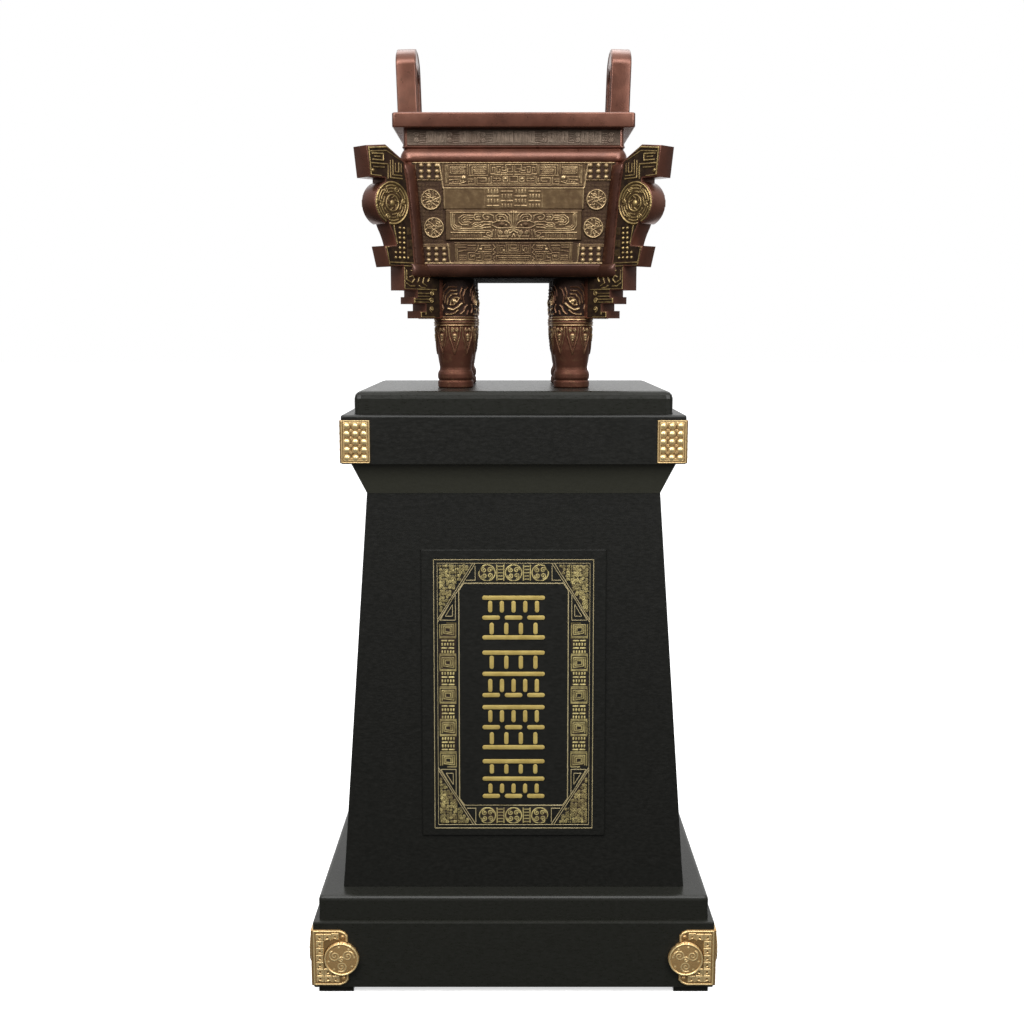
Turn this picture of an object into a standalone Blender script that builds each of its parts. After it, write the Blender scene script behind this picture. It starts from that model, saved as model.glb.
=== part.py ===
# Rectangular bronze ding on a tall black lacquered pedestal with gilt corner fittings.
# Metres, +Z up. The origin is on the floor under the centre, and the front faces -Y.
import math
import bpy
import bmesh
from mathutils import Matrix, Vector

# Clearance between pieces that rest on or beside each other
SEAT_GAP = 0.0003
# How far a raised form is sunk into what it is cast with
RELIEF_ROOT = 0.0010
STUD_ROOT = 0.0004
# A stud's radius as a share of the way to the next one
STUD_FILL = 0.47
DIAGONAL = math.sqrt(0.5)
CAP_WELD = 0.000001
FLAT_ANGLE = 0.001

# Pedestal feet and boards
FOOT_SIDE = 0.0510
FOOT_HEIGHT = 0.0100
FOOT_INSET = 0.0065
TOP_WIDTH = 0.4530
TOP_DEPTH = 0.3640
TOP_THICKNESS = 0.0320
TOP_ROUND = 0.0105
COLLAR_STEP = 0.0167
COLLAR_HEIGHT = 0.0692
COLLAR_ROUND = 0.0030
CORNICE_INSET = 0.0116
CORNICE_SPREAD = 0.0198
CORNICE_HEIGHT = 0.0452
TRUNK_HEIGHT = 0.5858
TRUNK_SPREAD_X = 0.0409
TRUNK_SPREAD_Y = 0.0300
TRUNK_ROUND = 0.0025
BOARD_STEP = 0.0328
BOARD_HEIGHT = 0.0355
BOARD_ROUND = 0.0060
PLINTH_STEP = 0.0080
PLINTH_HEIGHT = 0.1015
PLINTH_ROUND = 0.0022

# Plaque on the trunk's front
PLAQUE_WIDTH = 0.2690
PLAQUE_HEIGHT = 0.4260
PLAQUE_THICKNESS = 0.0030
PLAQUE_LIFT = 0.0790

# Upper corner fittings, studded
STUD_PLATE_THICKNESS = 0.0012
STUD_PLATE_WIDTH = 0.0410
STUD_PLATE_HEIGHT = 0.0612
STUD_PLATE_LIFT = 0.0008
STUD_COLUMNS = 3
STUD_ROWS = 5
STUD_HEIGHT = 0.0020

# Lower corner fittings, with one large boss on each face
BOSS_PLATE_THICKNESS = 0.0022
BOSS_PLATE_WIDTH = 0.0514
BOSS_PLATE_HEIGHT = 0.0865
BOSS_PLATE_LIFT = 0.0036
BOSS_FROM_CORNER = 0.0419
BOSS_RADIUS = 0.0250
BOSS_HEIGHT = 0.0052
BOSS_CORE_RADIUS = 0.0170
BOSS_CORE_HEIGHT = 0.0020

# Vessel, heights above the underside of its feet
VESSEL_WALL = 0.0065
VESSEL_FLOOR = 0.0080
LEG_HEIGHT = 0.1593
BELLY_ROUND = 0.0112
BELLY_BAND = 0.0086
PANEL_HEIGHT = 0.1410
PANEL_RECESS = 0.0012
SHOULDER_HEIGHT = 0.0225
SHOULDER_SWELL = 0.0014
NECK_HEIGHT = 0.0233
NECK_SETBACK = 0.0036
RIM_HEIGHT = 0.0209
RIM_OVERHANG = 0.0143
RIM_ROUND = 0.0016
LIP_INSET = 0.0148
PANEL_TOP_WIDTH = 0.3196
PANEL_TOP_DEPTH = 0.2650
PANEL_TAPER = 0.0120
CORNER_RADIUS = 0.0190
NECK_CORNER_RADIUS = 0.0060
RIM_CORNER_RADIUS = 0.0045
CAVITY_CORNER_RADIUS = 0.0260

# Ears
EAR_THICKNESS = 0.0280
EAR_INSET = 0.0012
EAR_HALF_DEPTH = 0.0500
EAR_BAR = 0.0230
EAR_HEIGHT = 0.1119
EAR_ARCH = 0.0300
EAR_CROWN = 0.0270
EAR_LEAN = math.radians(1.7)
EAR_ROOT = 0.0080
EAR_BORDER = 0.0035

# Legs
LEG_SPACING_X = 0.1730
LEG_SPACING_Y = 0.1440
LEG_TOP_RADIUS = 0.0300
LEG_ANKLE_RADIUS = 0.0230
LEG_RING_RADIUS = 0.0265
LEG_RING_HEIGHT = 0.0125
LEG_RING_GROOVE = 0.0019
LEG_BAND_HEIGHT = 0.0115
LEG_BAND_LIFT = 0.0909
LEG_CALF_LIFT = 0.0557
LEG_CALF_RADIUS = 0.0281

# Corner flanges: reach out from the body's corner at mid height, on the diagonal
FLANGE_THICKNESS = 0.0290
FLANGE_BITE = 0.0170
HOOK_REACH = 0.0814
HOOK_TOP = 0.3350
HOOK_HEIGHT = 0.0413
HOOK_NECK = 0.0485
HOOK_RISE = 0.0042
DISC_REACH = 0.0375
DISC_LIFT = 0.2607
DISC_RADIUS = 0.0305
WAIST_REACH = 0.0305
FLANGE_FOOT_REACH = 0.0520
FLANGE_FOOT_TOP = 0.2017
FLANGE_FOOT_HEIGHT = 0.0285

# Three steps that climb from each leg to the corner flange's foot, in the same plane
STEP_REACHES = (0.0180, -0.0065, 0.0000, -0.0227, -0.0125)
STEP_LIFTS = (0.1750, 0.1412, 0.1322, 0.1221, 0.1124, 0.1017)

# Relief on the body's panels
RELIEF_LINE = 0.0020
RELIEF_RISE = 0.0012
GRID_WIDTH = 0.0385
GRID_PITCH = (0.0112, 0.0079)
GRID_HEIGHT = 0.0246
GRID_STUD_HEIGHT = 0.0024
MEDALLION_RADIUS = 0.0143
MEDALLION_RISE = 0.0022
PLATE_RISE = 0.0026
PLAIN_RISE = 0.0015
# Top and foot of each plate, as shares of the panel's height from its middle
PLAIN_PLATE = (0.2530, 0.0430)
MASK_PLATE = (0.0330, -0.2620)

# Colours
BRONZE = (0.16, 0.07, 0.045, 1.0)
LACQUER = (0.012, 0.012, 0.011, 1.0)
GILT = (0.62, 0.40, 0.16, 1.0)
PLAQUE_GOLD = (0.10, 0.09, 0.05, 1.0)

# Levels of the pedestal, each worked out from the piece below it
PLINTH_BASE = FOOT_HEIGHT + SEAT_GAP
BOARD_BASE = PLINTH_BASE + PLINTH_HEIGHT + SEAT_GAP
TRUNK_BASE = BOARD_BASE + BOARD_HEIGHT + SEAT_GAP
CORNICE_BASE = TRUNK_BASE + TRUNK_HEIGHT + SEAT_GAP
COLLAR_BASE = CORNICE_BASE + CORNICE_HEIGHT + SEAT_GAP
TOP_BASE = COLLAR_BASE + COLLAR_HEIGHT + SEAT_GAP
DING_BASE = TOP_BASE + TOP_THICKNESS + SEAT_GAP

# Half widths and half depths of the pedestal's pieces
TOP_HALF = (TOP_WIDTH / 2, TOP_DEPTH / 2)
COLLAR_HALF = tuple(half + COLLAR_STEP for half in TOP_HALF)
CORNICE_HALF = tuple(half - CORNICE_INSET for half in COLLAR_HALF)
TRUNK_TOP_HALF = tuple(half - CORNICE_SPREAD for half in CORNICE_HALF)
TRUNK_FOOT_HALF = (TRUNK_TOP_HALF[0] + TRUNK_SPREAD_X, TRUNK_TOP_HALF[1] + TRUNK_SPREAD_Y)
BOARD_HALF = tuple(half + BOARD_STEP for half in TRUNK_FOOT_HALF)
PLINTH_HALF = tuple(half + PLINTH_STEP for half in BOARD_HALF)

# Levels and half sizes of the vessel
BELLY_LEVEL = LEG_HEIGHT + BELLY_ROUND
PANEL_FOOT_LEVEL = BELLY_LEVEL + BELLY_BAND
PANEL_TOP_LEVEL = PANEL_FOOT_LEVEL + PANEL_HEIGHT
NECK_LEVEL = PANEL_TOP_LEVEL + SHOULDER_HEIGHT
RIM_LEVEL = NECK_LEVEL + NECK_HEIGHT
MOUTH_LEVEL = RIM_LEVEL + RIM_HEIGHT
PANEL_TOP_HALF = (PANEL_TOP_WIDTH / 2, PANEL_TOP_DEPTH / 2)
PANEL_FOOT_HALF = tuple(half - PANEL_TAPER for half in PANEL_TOP_HALF)
NECK_HALF = tuple(half - NECK_SETBACK for half in PANEL_TOP_HALF)
RIM_HALF = tuple(half + RIM_OVERHANG for half in NECK_HALF)
LIP_HALF = tuple(half - LIP_INSET for half in NECK_HALF)
PANEL_LEAN = math.atan2(PANEL_TAPER, PANEL_HEIGHT)
PANEL_MIDDLE = (PANEL_FOOT_LEVEL + PANEL_TOP_LEVEL) / 2
CORNER_MID = tuple((PANEL_TOP_HALF[i] + PANEL_FOOT_HALF[i]) / 2 for i in range(2))


def clear_scene():
    for thing in list(bpy.data.objects):
        bpy.data.objects.remove(thing, do_unlink=True)


def make_collection(name):
    group = bpy.data.collections.new(name)
    bpy.context.scene.collection.children.link(group)
    return group


def make_material(name, colour, roughness, metallic):
    material = bpy.data.materials.new(name)
    material.use_nodes = True
    shader = material.node_tree.nodes["Principled BSDF"]
    shader.inputs["Base Color"].default_value = colour
    shader.inputs["Roughness"].default_value = roughness
    shader.inputs["Metallic"].default_value = metallic
    return material


def add_object(name, form, group, material=None):
    """Makes an object from a bmesh, with its faces turned outwards."""
    bmesh.ops.recalc_face_normals(form, faces=form.faces)
    mesh = bpy.data.meshes.new(name)
    form.to_mesh(mesh)
    form.free()
    thing = bpy.data.objects.new(name, mesh)
    group.objects.link(thing)
    if material:
        mesh.materials.append(material)
    return thing


def add_guide(name, form, group):
    """Makes an object that only shapes another one."""
    thing = add_object(name, form, group)
    thing.hide_render = True
    thing.display_type = "WIRE"
    return thing


def smooth(thing, angle):
    thing.data.shade_smooth()
    thing.data.set_sharp_from_angle(angle=math.radians(angle))


def add_boolean(thing, other, operation):
    modifier = thing.modifiers.new(other.name, "BOOLEAN")
    modifier.operation = operation
    modifier.solver = "EXACT"
    modifier.object = other


def mesh_of(holder):
    """Makes a mesh of what an object evaluates to, and removes the object."""
    mesh = bpy.data.meshes.new_from_object(holder.evaluated_get(bpy.context.evaluated_depsgraph_get()))
    bpy.data.objects.remove(holder)
    return mesh


def add_block(form, size, place):
    """Adds a box of the given size, put in place by a matrix."""
    made = bmesh.ops.create_cube(form, size=1.0)["verts"]
    bmesh.ops.scale(form, vec=Vector(size), verts=made)
    bmesh.ops.transform(form, matrix=place, verts=made)
    return made


def add_tapered_block(form, low_half, high_half, low, high):
    """Adds a block whose sides lean from one rectangle to another."""
    made = bmesh.ops.create_cube(form, size=2.0)["verts"]
    for vert in made:
        half = high_half if vert.co.z > 0 else low_half
        level = high if vert.co.z > 0 else low
        vert.co = Vector((math.copysign(half[0], vert.co.x), math.copysign(half[1], vert.co.y), level))
    return made


def round_edges(form, chosen, radius, segments):
    bmesh.ops.bevel(form, geom=chosen, offset=radius, segments=segments, profile=0.5,
                    affect="EDGES", clamp_overlap=True)


def top_edges(form, level):
    return [edge for edge in form.edges if all(abs(vert.co.z - level) < 1e-6 for vert in edge.verts)]


def upright_edges(form):
    return [edge for edge in form.edges if abs(edge.verts[0].co.z - edge.verts[1].co.z) > 1e-6]


def rounded_ring(half, radius, level, segments=3):
    """Points of a rectangle with round corners, counter-clockwise."""
    points = []
    for quarter in range(4):
        side_x = 1 if quarter in (0, 3) else -1
        side_y = 1 if quarter in (0, 1) else -1
        centre = Vector((side_x * (half[0] - radius), side_y * (half[1] - radius), level))
        for step in range(segments + 1):
            angle = math.radians(90) * (quarter + step / segments)
            points.append(centre + radius * Vector((math.cos(angle), math.sin(angle), 0)))
    return points


def add_loft(form, rings):
    """Joins rings of equally many points into one closed skin."""
    rows = [[form.verts.new(point) for point in ring] for ring in rings]
    count = len(rows[0])
    for low, high in zip(rows, rows[1:]):
        for i in range(count):
            j = (i + 1) % count
            form.faces.new((low[i], low[j], high[j], high[i]))
    form.faces.new(list(reversed(rows[0])))
    form.faces.new(rows[-1])


def add_outline(form, points, thickness, place):
    """Adds a flat outline as a plate, filled by a 2D curve and put in place by a matrix."""
    curve = bpy.data.curves.new("outline", "CURVE")
    curve.dimensions = "2D"
    curve.fill_mode = "BOTH"
    curve.extrude = thickness / 2
    spline = curve.splines.new("POLY")
    spline.points.add(len(points) - 1)
    for point, (across, up) in zip(spline.points, points):
        point.co = (across, up, 0, 1)
    spline.use_cyclic_u = True
    holder = bpy.data.objects.new("outline", curve)
    bpy.context.scene.collection.objects.link(holder)
    plate = mesh_of(holder)
    made = bmesh.new()
    made.from_mesh(plate)
    bmesh.ops.remove_doubles(made, verts=made.verts, dist=CAP_WELD)
    bmesh.ops.dissolve_limit(made, angle_limit=FLAT_ANGLE, verts=made.verts, edges=made.edges)
    bmesh.ops.transform(made, matrix=place, verts=made.verts)
    made.to_mesh(plate)
    made.free()
    form.from_mesh(plate)
    bpy.data.meshes.remove(plate)


def arc(centre, radius, start, end, steps):
    """Points along an arc or an ellipse's arc, angles in degrees."""
    across, up = (radius, radius) if isinstance(radius, float) else radius
    points = []
    for step in range(steps + 1):
        angle = math.radians(start + (end - start) * step / steps)
        points.append((centre[0] + across * math.cos(angle), centre[1] + up * math.sin(angle)))
    return points


def strip_outline(points, width):
    """Outline of an even strip along a path, with mitred corners."""
    path = [Vector(point) for point in points]
    left = []
    right = []
    for i, point in enumerate(path):
        before = (point - path[max(i - 1, 0)]).normalized()
        after = (path[min(i + 1, len(path) - 1)] - point).normalized()
        if i == 0:
            before = after
        if i == len(path) - 1:
            after = before
        along = (before + after).normalized()
        reach = width / 2 / along.dot(before)
        side = Vector((-along.y, along.x)) * reach
        left.append(point + side)
        right.append(point - side)
    return left + right[::-1]


def add_strip(form, face, points, width, rise, base=0.0):
    """Adds a raised strip along a path on a face, from the level of its base."""
    middle = base + (rise - RELIEF_ROOT) / 2
    place = face @ Matrix.Translation((0, 0, middle))
    add_outline(form, strip_outline(points, width), rise + RELIEF_ROOT, place)


def add_stud(form, face, spot, radius, height, base=0.0, sides=4):
    """Adds a small pointed stud."""
    depth = height + STUD_ROOT
    place = face @ Matrix.Translation((spot[0], spot[1], base + height - depth / 2))
    bmesh.ops.create_cone(form, cap_ends=True, segments=sides, radius1=radius, radius2=0,
                          depth=depth, matrix=place)


def add_disc(form, face, spot, radius, rise, base=0.0, sides=8, shrink=0.92):
    """Adds a low round disc."""
    depth = rise + RELIEF_ROOT
    place = face @ Matrix.Translation((spot[0], spot[1], base + rise - depth / 2))
    bmesh.ops.create_cone(form, cap_ends=True, segments=sides, radius1=radius,
                          radius2=radius * shrink, depth=depth, matrix=place)


def both_sides(frame, thickness):
    """Frames of the two faces of a plate, each with z outwards."""
    front = frame @ Matrix.Translation((0, 0, thickness / 2))
    back = frame @ Matrix.Translation((0, 0, -thickness / 2)) @ Matrix.Diagonal((1, 1, -1, 1))
    return front, back


# Pedestal

def build_feet(group, material):
    for side_x, side_name in ((-1, "left"), (1, "right")):
        for side_y, end_name in ((-1, "front"), (1, "back")):
            form = bmesh.new()
            centre = (side_x * (PLINTH_HALF[0] - FOOT_INSET - FOOT_SIDE / 2),
                      side_y * (PLINTH_HALF[1] - FOOT_INSET - FOOT_SIDE / 2), FOOT_HEIGHT / 2)
            add_block(form, (FOOT_SIDE, FOOT_SIDE, FOOT_HEIGHT), Matrix.Translation(centre))
            add_object(f"foot_{end_name}_{side_name}", form, group, material)


def build_board(name, half, base, height, radius, segments, group, material):
    """A board with a rounded top edge."""
    form = bmesh.new()
    add_tapered_block(form, half, half, base, base + height)
    round_edges(form, top_edges(form, base + height) + upright_edges(form), radius, segments)
    smooth(add_object(name, form, group, material), 40)


def build_leaning_block(name, low_half, high_half, base, height, radius, group, material):
    form = bmesh.new()
    add_tapered_block(form, low_half, high_half, base, base + height)
    round_edges(form, upright_edges(form), radius, 2)
    smooth(add_object(name, form, group, material), 40)


def trunk_face():
    """Frame of the trunk's front: x across, y up the slope from its foot, z outwards."""
    lean = math.atan2(TRUNK_SPREAD_Y, TRUNK_HEIGHT)
    foot = Matrix.Translation((0, -TRUNK_FOOT_HALF[1], TRUNK_BASE))
    return foot @ Matrix.Rotation(math.radians(90) - lean, 4, "X")


def build_plaque(group, material):
    form = bmesh.new()
    middle = (0, PLAQUE_LIFT + PLAQUE_HEIGHT / 2, SEAT_GAP + PLAQUE_THICKNESS / 2)
    size = (PLAQUE_WIDTH, PLAQUE_HEIGHT, PLAQUE_THICKNESS)
    add_block(form, size, trunk_face() @ Matrix.Translation(middle))
    faces = trunk_face().inverted()
    front = [edge for edge in form.edges if all((faces @ vert.co).z > SEAT_GAP * 2 for vert in edge.verts)]
    round_edges(form, front, PLAQUE_THICKNESS * 0.4, 1)
    add_object("plaque", form, group, material)


def build_pedestal(group, material, gold):
    build_feet(group, material)
    build_board("base_plinth", PLINTH_HALF, PLINTH_BASE, PLINTH_HEIGHT, PLINTH_ROUND, 2, group, material)
    build_board("step_board", BOARD_HALF, BOARD_BASE, BOARD_HEIGHT, BOARD_ROUND, 3, group, material)
    build_leaning_block("trunk", TRUNK_FOOT_HALF, TRUNK_TOP_HALF, TRUNK_BASE, TRUNK_HEIGHT,
                        TRUNK_ROUND, group, material)
    build_leaning_block("cornice", TRUNK_TOP_HALF, CORNICE_HALF, CORNICE_BASE, CORNICE_HEIGHT,
                        TRUNK_ROUND, group, material)
    build_board("collar_block", COLLAR_HALF, COLLAR_BASE, COLLAR_HEIGHT, COLLAR_ROUND, 2, group, material)
    build_board("top_board", TOP_HALF, TOP_BASE, TOP_THICKNESS, TOP_ROUND, 3, group, material)
    build_plaque(group, gold)


# Gilt corner fittings

def corner_outline(half, thickness, width):
    """An angle plate round the corner of a block, seen from above, at +X +Y."""
    outer = tuple(value + SEAT_GAP + thickness for value in half)
    inner = tuple(value + SEAT_GAP for value in half)
    start = tuple(value - width for value in outer)
    return [(outer[0], start[1]), outer, (start[0], outer[1]), (start[0], inner[1]), inner,
            (inner[0], start[1])]


def corner_faces(half, thickness, level):
    """Frames of the two outer faces at the +X +Y corner: x away from the corner, y up, z out."""
    reach = tuple(value + SEAT_GAP + thickness for value in half)
    corner = Matrix.Translation((reach[0], reach[1], level))
    back = corner @ Matrix(((-1, 0, 0, 0), (0, 0, 1, 0), (0, 1, 0, 0), (0, 0, 0, 1)))
    side = corner @ Matrix(((0, 0, 1, 0), (-1, 0, 0, 0), (0, 1, 0, 0), (0, 0, 0, 1)))
    return back, side


def build_fitting(name, half, thickness, width, height, level, raised, cuts, group, material):
    """Makes the fitting of the +X +Y corner and the three that mirror it."""
    for side_x, side_name in ((-1, "left"), (1, "right")):
        for side_y, end_name in ((-1, "front"), (1, "back")):
            form = bmesh.new()
            lift = Matrix.Translation((0, 0, level + height / 2))
            add_outline(form, corner_outline(half, thickness, width), height, lift)
            mirror = Matrix.Diagonal((side_x, side_y, 1, 1))
            bmesh.ops.transform(form, matrix=mirror, verts=form.verts)
            fitting = add_object(f"{name}_{end_name}_{side_name}", form, group, material)
            for order, pattern in enumerate(raised):
                bosses = bmesh.new()
                for face in corner_faces(half, thickness, level):
                    pattern(bosses, face)
                bmesh.ops.transform(bosses, matrix=mirror, verts=bosses.verts)
                guide = add_guide(f"{name}_{end_name}_{side_name}_bosses_{order}", bosses, cuts)
                add_boolean(fitting, guide, "UNION")
            smooth(fitting, 35)


def stud_pattern(form, face):
    """Rows of round studs over the plate."""
    step_x = STUD_PLATE_WIDTH / STUD_COLUMNS
    step_y = STUD_PLATE_HEIGHT / STUD_ROWS
    for column in range(STUD_COLUMNS):
        for row in range(STUD_ROWS):
            spot = (step_x * (column + 0.5), step_y * (row + 0.5))
            add_stud(form, face, spot, min(step_x, step_y) * STUD_FILL, STUD_HEIGHT)


def boss_pattern(form, face):
    """A round boss that overhangs the plate's inner edge and nearly meets the plinth."""
    spot = (BOSS_FROM_CORNER, BOSS_PLATE_HEIGHT / 2)
    sunk = BOSS_PLATE_THICKNESS * 0.4
    add_disc(form, face, spot, BOSS_RADIUS, BOSS_HEIGHT + sunk, -sunk, 14, 0.88)


def boss_core_pattern(form, face):
    spot = (BOSS_FROM_CORNER, BOSS_PLATE_HEIGHT / 2)
    add_disc(form, face, spot, BOSS_CORE_RADIUS, BOSS_CORE_HEIGHT, BOSS_HEIGHT, 10, 0.75)


def build_fittings(group, cuts, material):
    build_fitting("studded_corner", COLLAR_HALF, STUD_PLATE_THICKNESS, STUD_PLATE_WIDTH, STUD_PLATE_HEIGHT,
                  COLLAR_BASE + STUD_PLATE_LIFT, (stud_pattern,), cuts, group, material)
    build_fitting("bossed_corner", PLINTH_HALF, BOSS_PLATE_THICKNESS, BOSS_PLATE_WIDTH, BOSS_PLATE_HEIGHT,
                  PLINTH_BASE + BOSS_PLATE_LIFT, (boss_pattern, boss_core_pattern), cuts, group, material)


# Vessel

def grown(half, amount):
    return tuple(value + amount for value in half)


def body_rings():
    """Sections of the vessel's outside, from its underside to its mouth."""
    belly = grown(PANEL_FOOT_HALF, PANEL_RECESS)
    shoulder = grown(PANEL_TOP_HALF, PANEL_RECESS)
    rings = []
    for step in range(4):
        angle = math.radians(90) * step / 3
        inset = BELLY_ROUND * (1 - math.sin(angle))
        level = LEG_HEIGHT + BELLY_ROUND * (1 - math.cos(angle))
        rings.append((grown(belly, -inset), CORNER_RADIUS - inset / 2, level))
    rings.append((belly, CORNER_RADIUS, PANEL_FOOT_LEVEL - PANEL_RECESS))
    rings.append((PANEL_FOOT_HALF, CORNER_RADIUS, PANEL_FOOT_LEVEL))
    rings.append((PANEL_TOP_HALF, CORNER_RADIUS, PANEL_TOP_LEVEL))
    rings.append((shoulder, CORNER_RADIUS, PANEL_TOP_LEVEL + PANEL_RECESS))
    swell = SHOULDER_HEIGHT - PANEL_RECESS
    for share, bulge in ((0.50, 1.0), (0.85, 0.5)):
        level = PANEL_TOP_LEVEL + PANEL_RECESS + swell * share
        rings.append((grown(shoulder, SHOULDER_SWELL * bulge), CORNER_RADIUS, level))
    rings.append((NECK_HALF, NECK_CORNER_RADIUS, NECK_LEVEL))
    rings.append((NECK_HALF, NECK_CORNER_RADIUS, RIM_LEVEL))
    rings.append((grown(RIM_HALF, -RIM_ROUND), RIM_CORNER_RADIUS, RIM_LEVEL))
    rings.append((RIM_HALF, RIM_CORNER_RADIUS, RIM_LEVEL + RIM_ROUND))
    rings.append((RIM_HALF, RIM_CORNER_RADIUS, MOUTH_LEVEL - RIM_ROUND))
    rings.append((grown(RIM_HALF, -RIM_ROUND), RIM_CORNER_RADIUS, MOUTH_LEVEL))
    return [rounded_ring(half, radius, DING_BASE + level) for half, radius, level in rings]


def cavity_rings():
    """Sections of the vessel's inside, from its floor to above its mouth."""
    foot = grown(PANEL_FOOT_HALF, -VESSEL_WALL)
    head = grown(PANEL_TOP_HALF, -VESSEL_WALL)
    neck = grown(NECK_HALF, -VESSEL_WALL)
    floor = LEG_HEIGHT + VESSEL_FLOOR
    slight = BELLY_ROUND * 0.3
    rings = (
        (grown(foot, -BELLY_ROUND), CAVITY_CORNER_RADIUS - BELLY_ROUND, floor),
        (grown(foot, -slight), CAVITY_CORNER_RADIUS - slight, floor + slight),
        (foot, CAVITY_CORNER_RADIUS, floor + BELLY_ROUND),
        (head, CAVITY_CORNER_RADIUS, PANEL_TOP_LEVEL),
        (neck, CAVITY_CORNER_RADIUS, NECK_LEVEL),
        (LIP_HALF, NECK_CORNER_RADIUS, RIM_LEVEL + VESSEL_WALL / 2),
        (LIP_HALF, NECK_CORNER_RADIUS, MOUTH_LEVEL + RIM_HEIGHT),
    )
    return [rounded_ring(half, radius, DING_BASE + level) for half, radius, level in rings]


def add_leg_profile(group):
    """A leg turned about its axis: foot rings, ankle, calf, band and top."""
    ring = LEG_RING_HEIGHT
    cut = LEG_RING_GROOVE
    top = LEG_HEIGHT + VESSEL_FLOOR / 2
    band = LEG_BAND_LIFT
    points = [
        (0, top),
        (LEG_TOP_RADIUS, top),
        (LEG_TOP_RADIUS, band + LEG_BAND_HEIGHT),
        (LEG_TOP_RADIUS + cut, band + LEG_BAND_HEIGHT),
        (LEG_TOP_RADIUS + cut, band),
        (LEG_TOP_RADIUS, band),
        (LEG_CALF_RADIUS, LEG_CALF_LIFT),
        (LEG_ANKLE_RADIUS, ring * 2.3),
        (LEG_RING_RADIUS, ring * 1.94),
        (LEG_RING_RADIUS, ring),
        (LEG_RING_RADIUS - cut, ring * 0.86),
        (LEG_RING_RADIUS, ring * 0.72),
        (LEG_RING_RADIUS, 0),
        (0, 0),
    ]
    mesh = bpy.data.meshes.new("leg_profile")
    mesh.from_pydata([(radius, 0, level) for radius, level in points],
                     [(i, i + 1) for i in range(len(points) - 1)], [])
    leg = bpy.data.objects.new("leg_profile", mesh)
    group.objects.link(leg)
    screw = leg.modifiers.new("Turn", "SCREW")
    screw.steps = 12
    screw.render_steps = 12
    screw.use_merge_vertices = True
    screw.merge_threshold = 0.00005
    return leg


def add_legs(form, group):
    """Stands a copy of the turned leg under each corner."""
    turned = mesh_of(add_leg_profile(group))
    for side_x in (-1, 1):
        for side_y in (-1, 1):
            before = set(form.verts)
            form.from_mesh(turned)
            made = [vert for vert in form.verts if vert not in before]
            place = Matrix.Translation((side_x * LEG_SPACING_X / 2, side_y * LEG_SPACING_Y / 2, DING_BASE))
            bmesh.ops.transform(form, matrix=place, verts=made)
    bpy.data.meshes.remove(turned)


def diagonal_plane(corner, side_x, side_y):
    """Frame at a corner: x outwards on the diagonal, y up from the vessel's foot, z across."""
    out = Vector((side_x * DIAGONAL, side_y * DIAGONAL, 0))
    up = Vector((0, 0, 1))
    across = out.cross(up)
    frame = Matrix((out, up, across)).transposed().to_4x4()
    frame.translation = Vector((side_x * corner[0], side_y * corner[1], DING_BASE))
    return frame


def nominal_reach(level):
    """How far the body's sharp corner lies from its place at mid height, on the diagonal."""
    return 2 * DIAGONAL * (level - PANEL_MIDDLE) * math.tan(PANEL_LEAN)


def flange_outline():
    """Hook, disc, waist and foot of a corner flange, then the steps down to the leg."""
    hook_low = HOOK_TOP - HOOK_HEIGHT
    meet = math.degrees(math.acos((HOOK_NECK - DISC_REACH) / DISC_RADIUS))
    disc = arc((DISC_REACH, DISC_LIFT), DISC_RADIUS, meet, -meet, 8)
    waist_low = FLANGE_FOOT_TOP + HOOK_RISE / 2
    waist_span = DISC_LIFT - DISC_RADIUS - waist_low
    root_top = HOOK_TOP - HOOK_HEIGHT * 0.70
    root_low = LEG_HEIGHT + VESSEL_FLOOR * 0.35
    leg_axis = DIAGONAL * (LEG_SPACING_X / 2 + LEG_SPACING_Y / 2 - CORNER_MID[0] - CORNER_MID[1])
    outer, first, middle, second, inner = STEP_REACHES
    top, first_top, first_low, second_top, second_low, low = STEP_LIFTS
    return [
        (nominal_reach(root_top) - FLANGE_BITE, root_top),
        (HOOK_REACH * 0.58, HOOK_TOP + HOOK_RISE),
        (HOOK_REACH, HOOK_TOP),
        (HOOK_REACH - HOOK_RISE * 1.3, hook_low),
        (HOOK_NECK, hook_low),
        *disc,
        (WAIST_REACH + waist_span * 0.40, waist_low + waist_span * 0.90),
        (WAIST_REACH + waist_span * 0.12, waist_low + waist_span * 0.40),
        (WAIST_REACH, waist_low),
        (FLANGE_FOOT_REACH, FLANGE_FOOT_TOP),
        (FLANGE_FOOT_REACH * 0.85, FLANGE_FOOT_TOP - FLANGE_FOOT_HEIGHT),
        (outer, top),
        (outer, first_top),
        (first, first_top),
        (first, first_low),
        (middle, first_low),
        (middle, second_top),
        (second, second_top),
        (second, second_low),
        (inner, second_low),
        (inner, low),
        (leg_axis, low),
        (leg_axis, root_low),
        (nominal_reach(root_low) - FLANGE_BITE, root_low),
    ]


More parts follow.
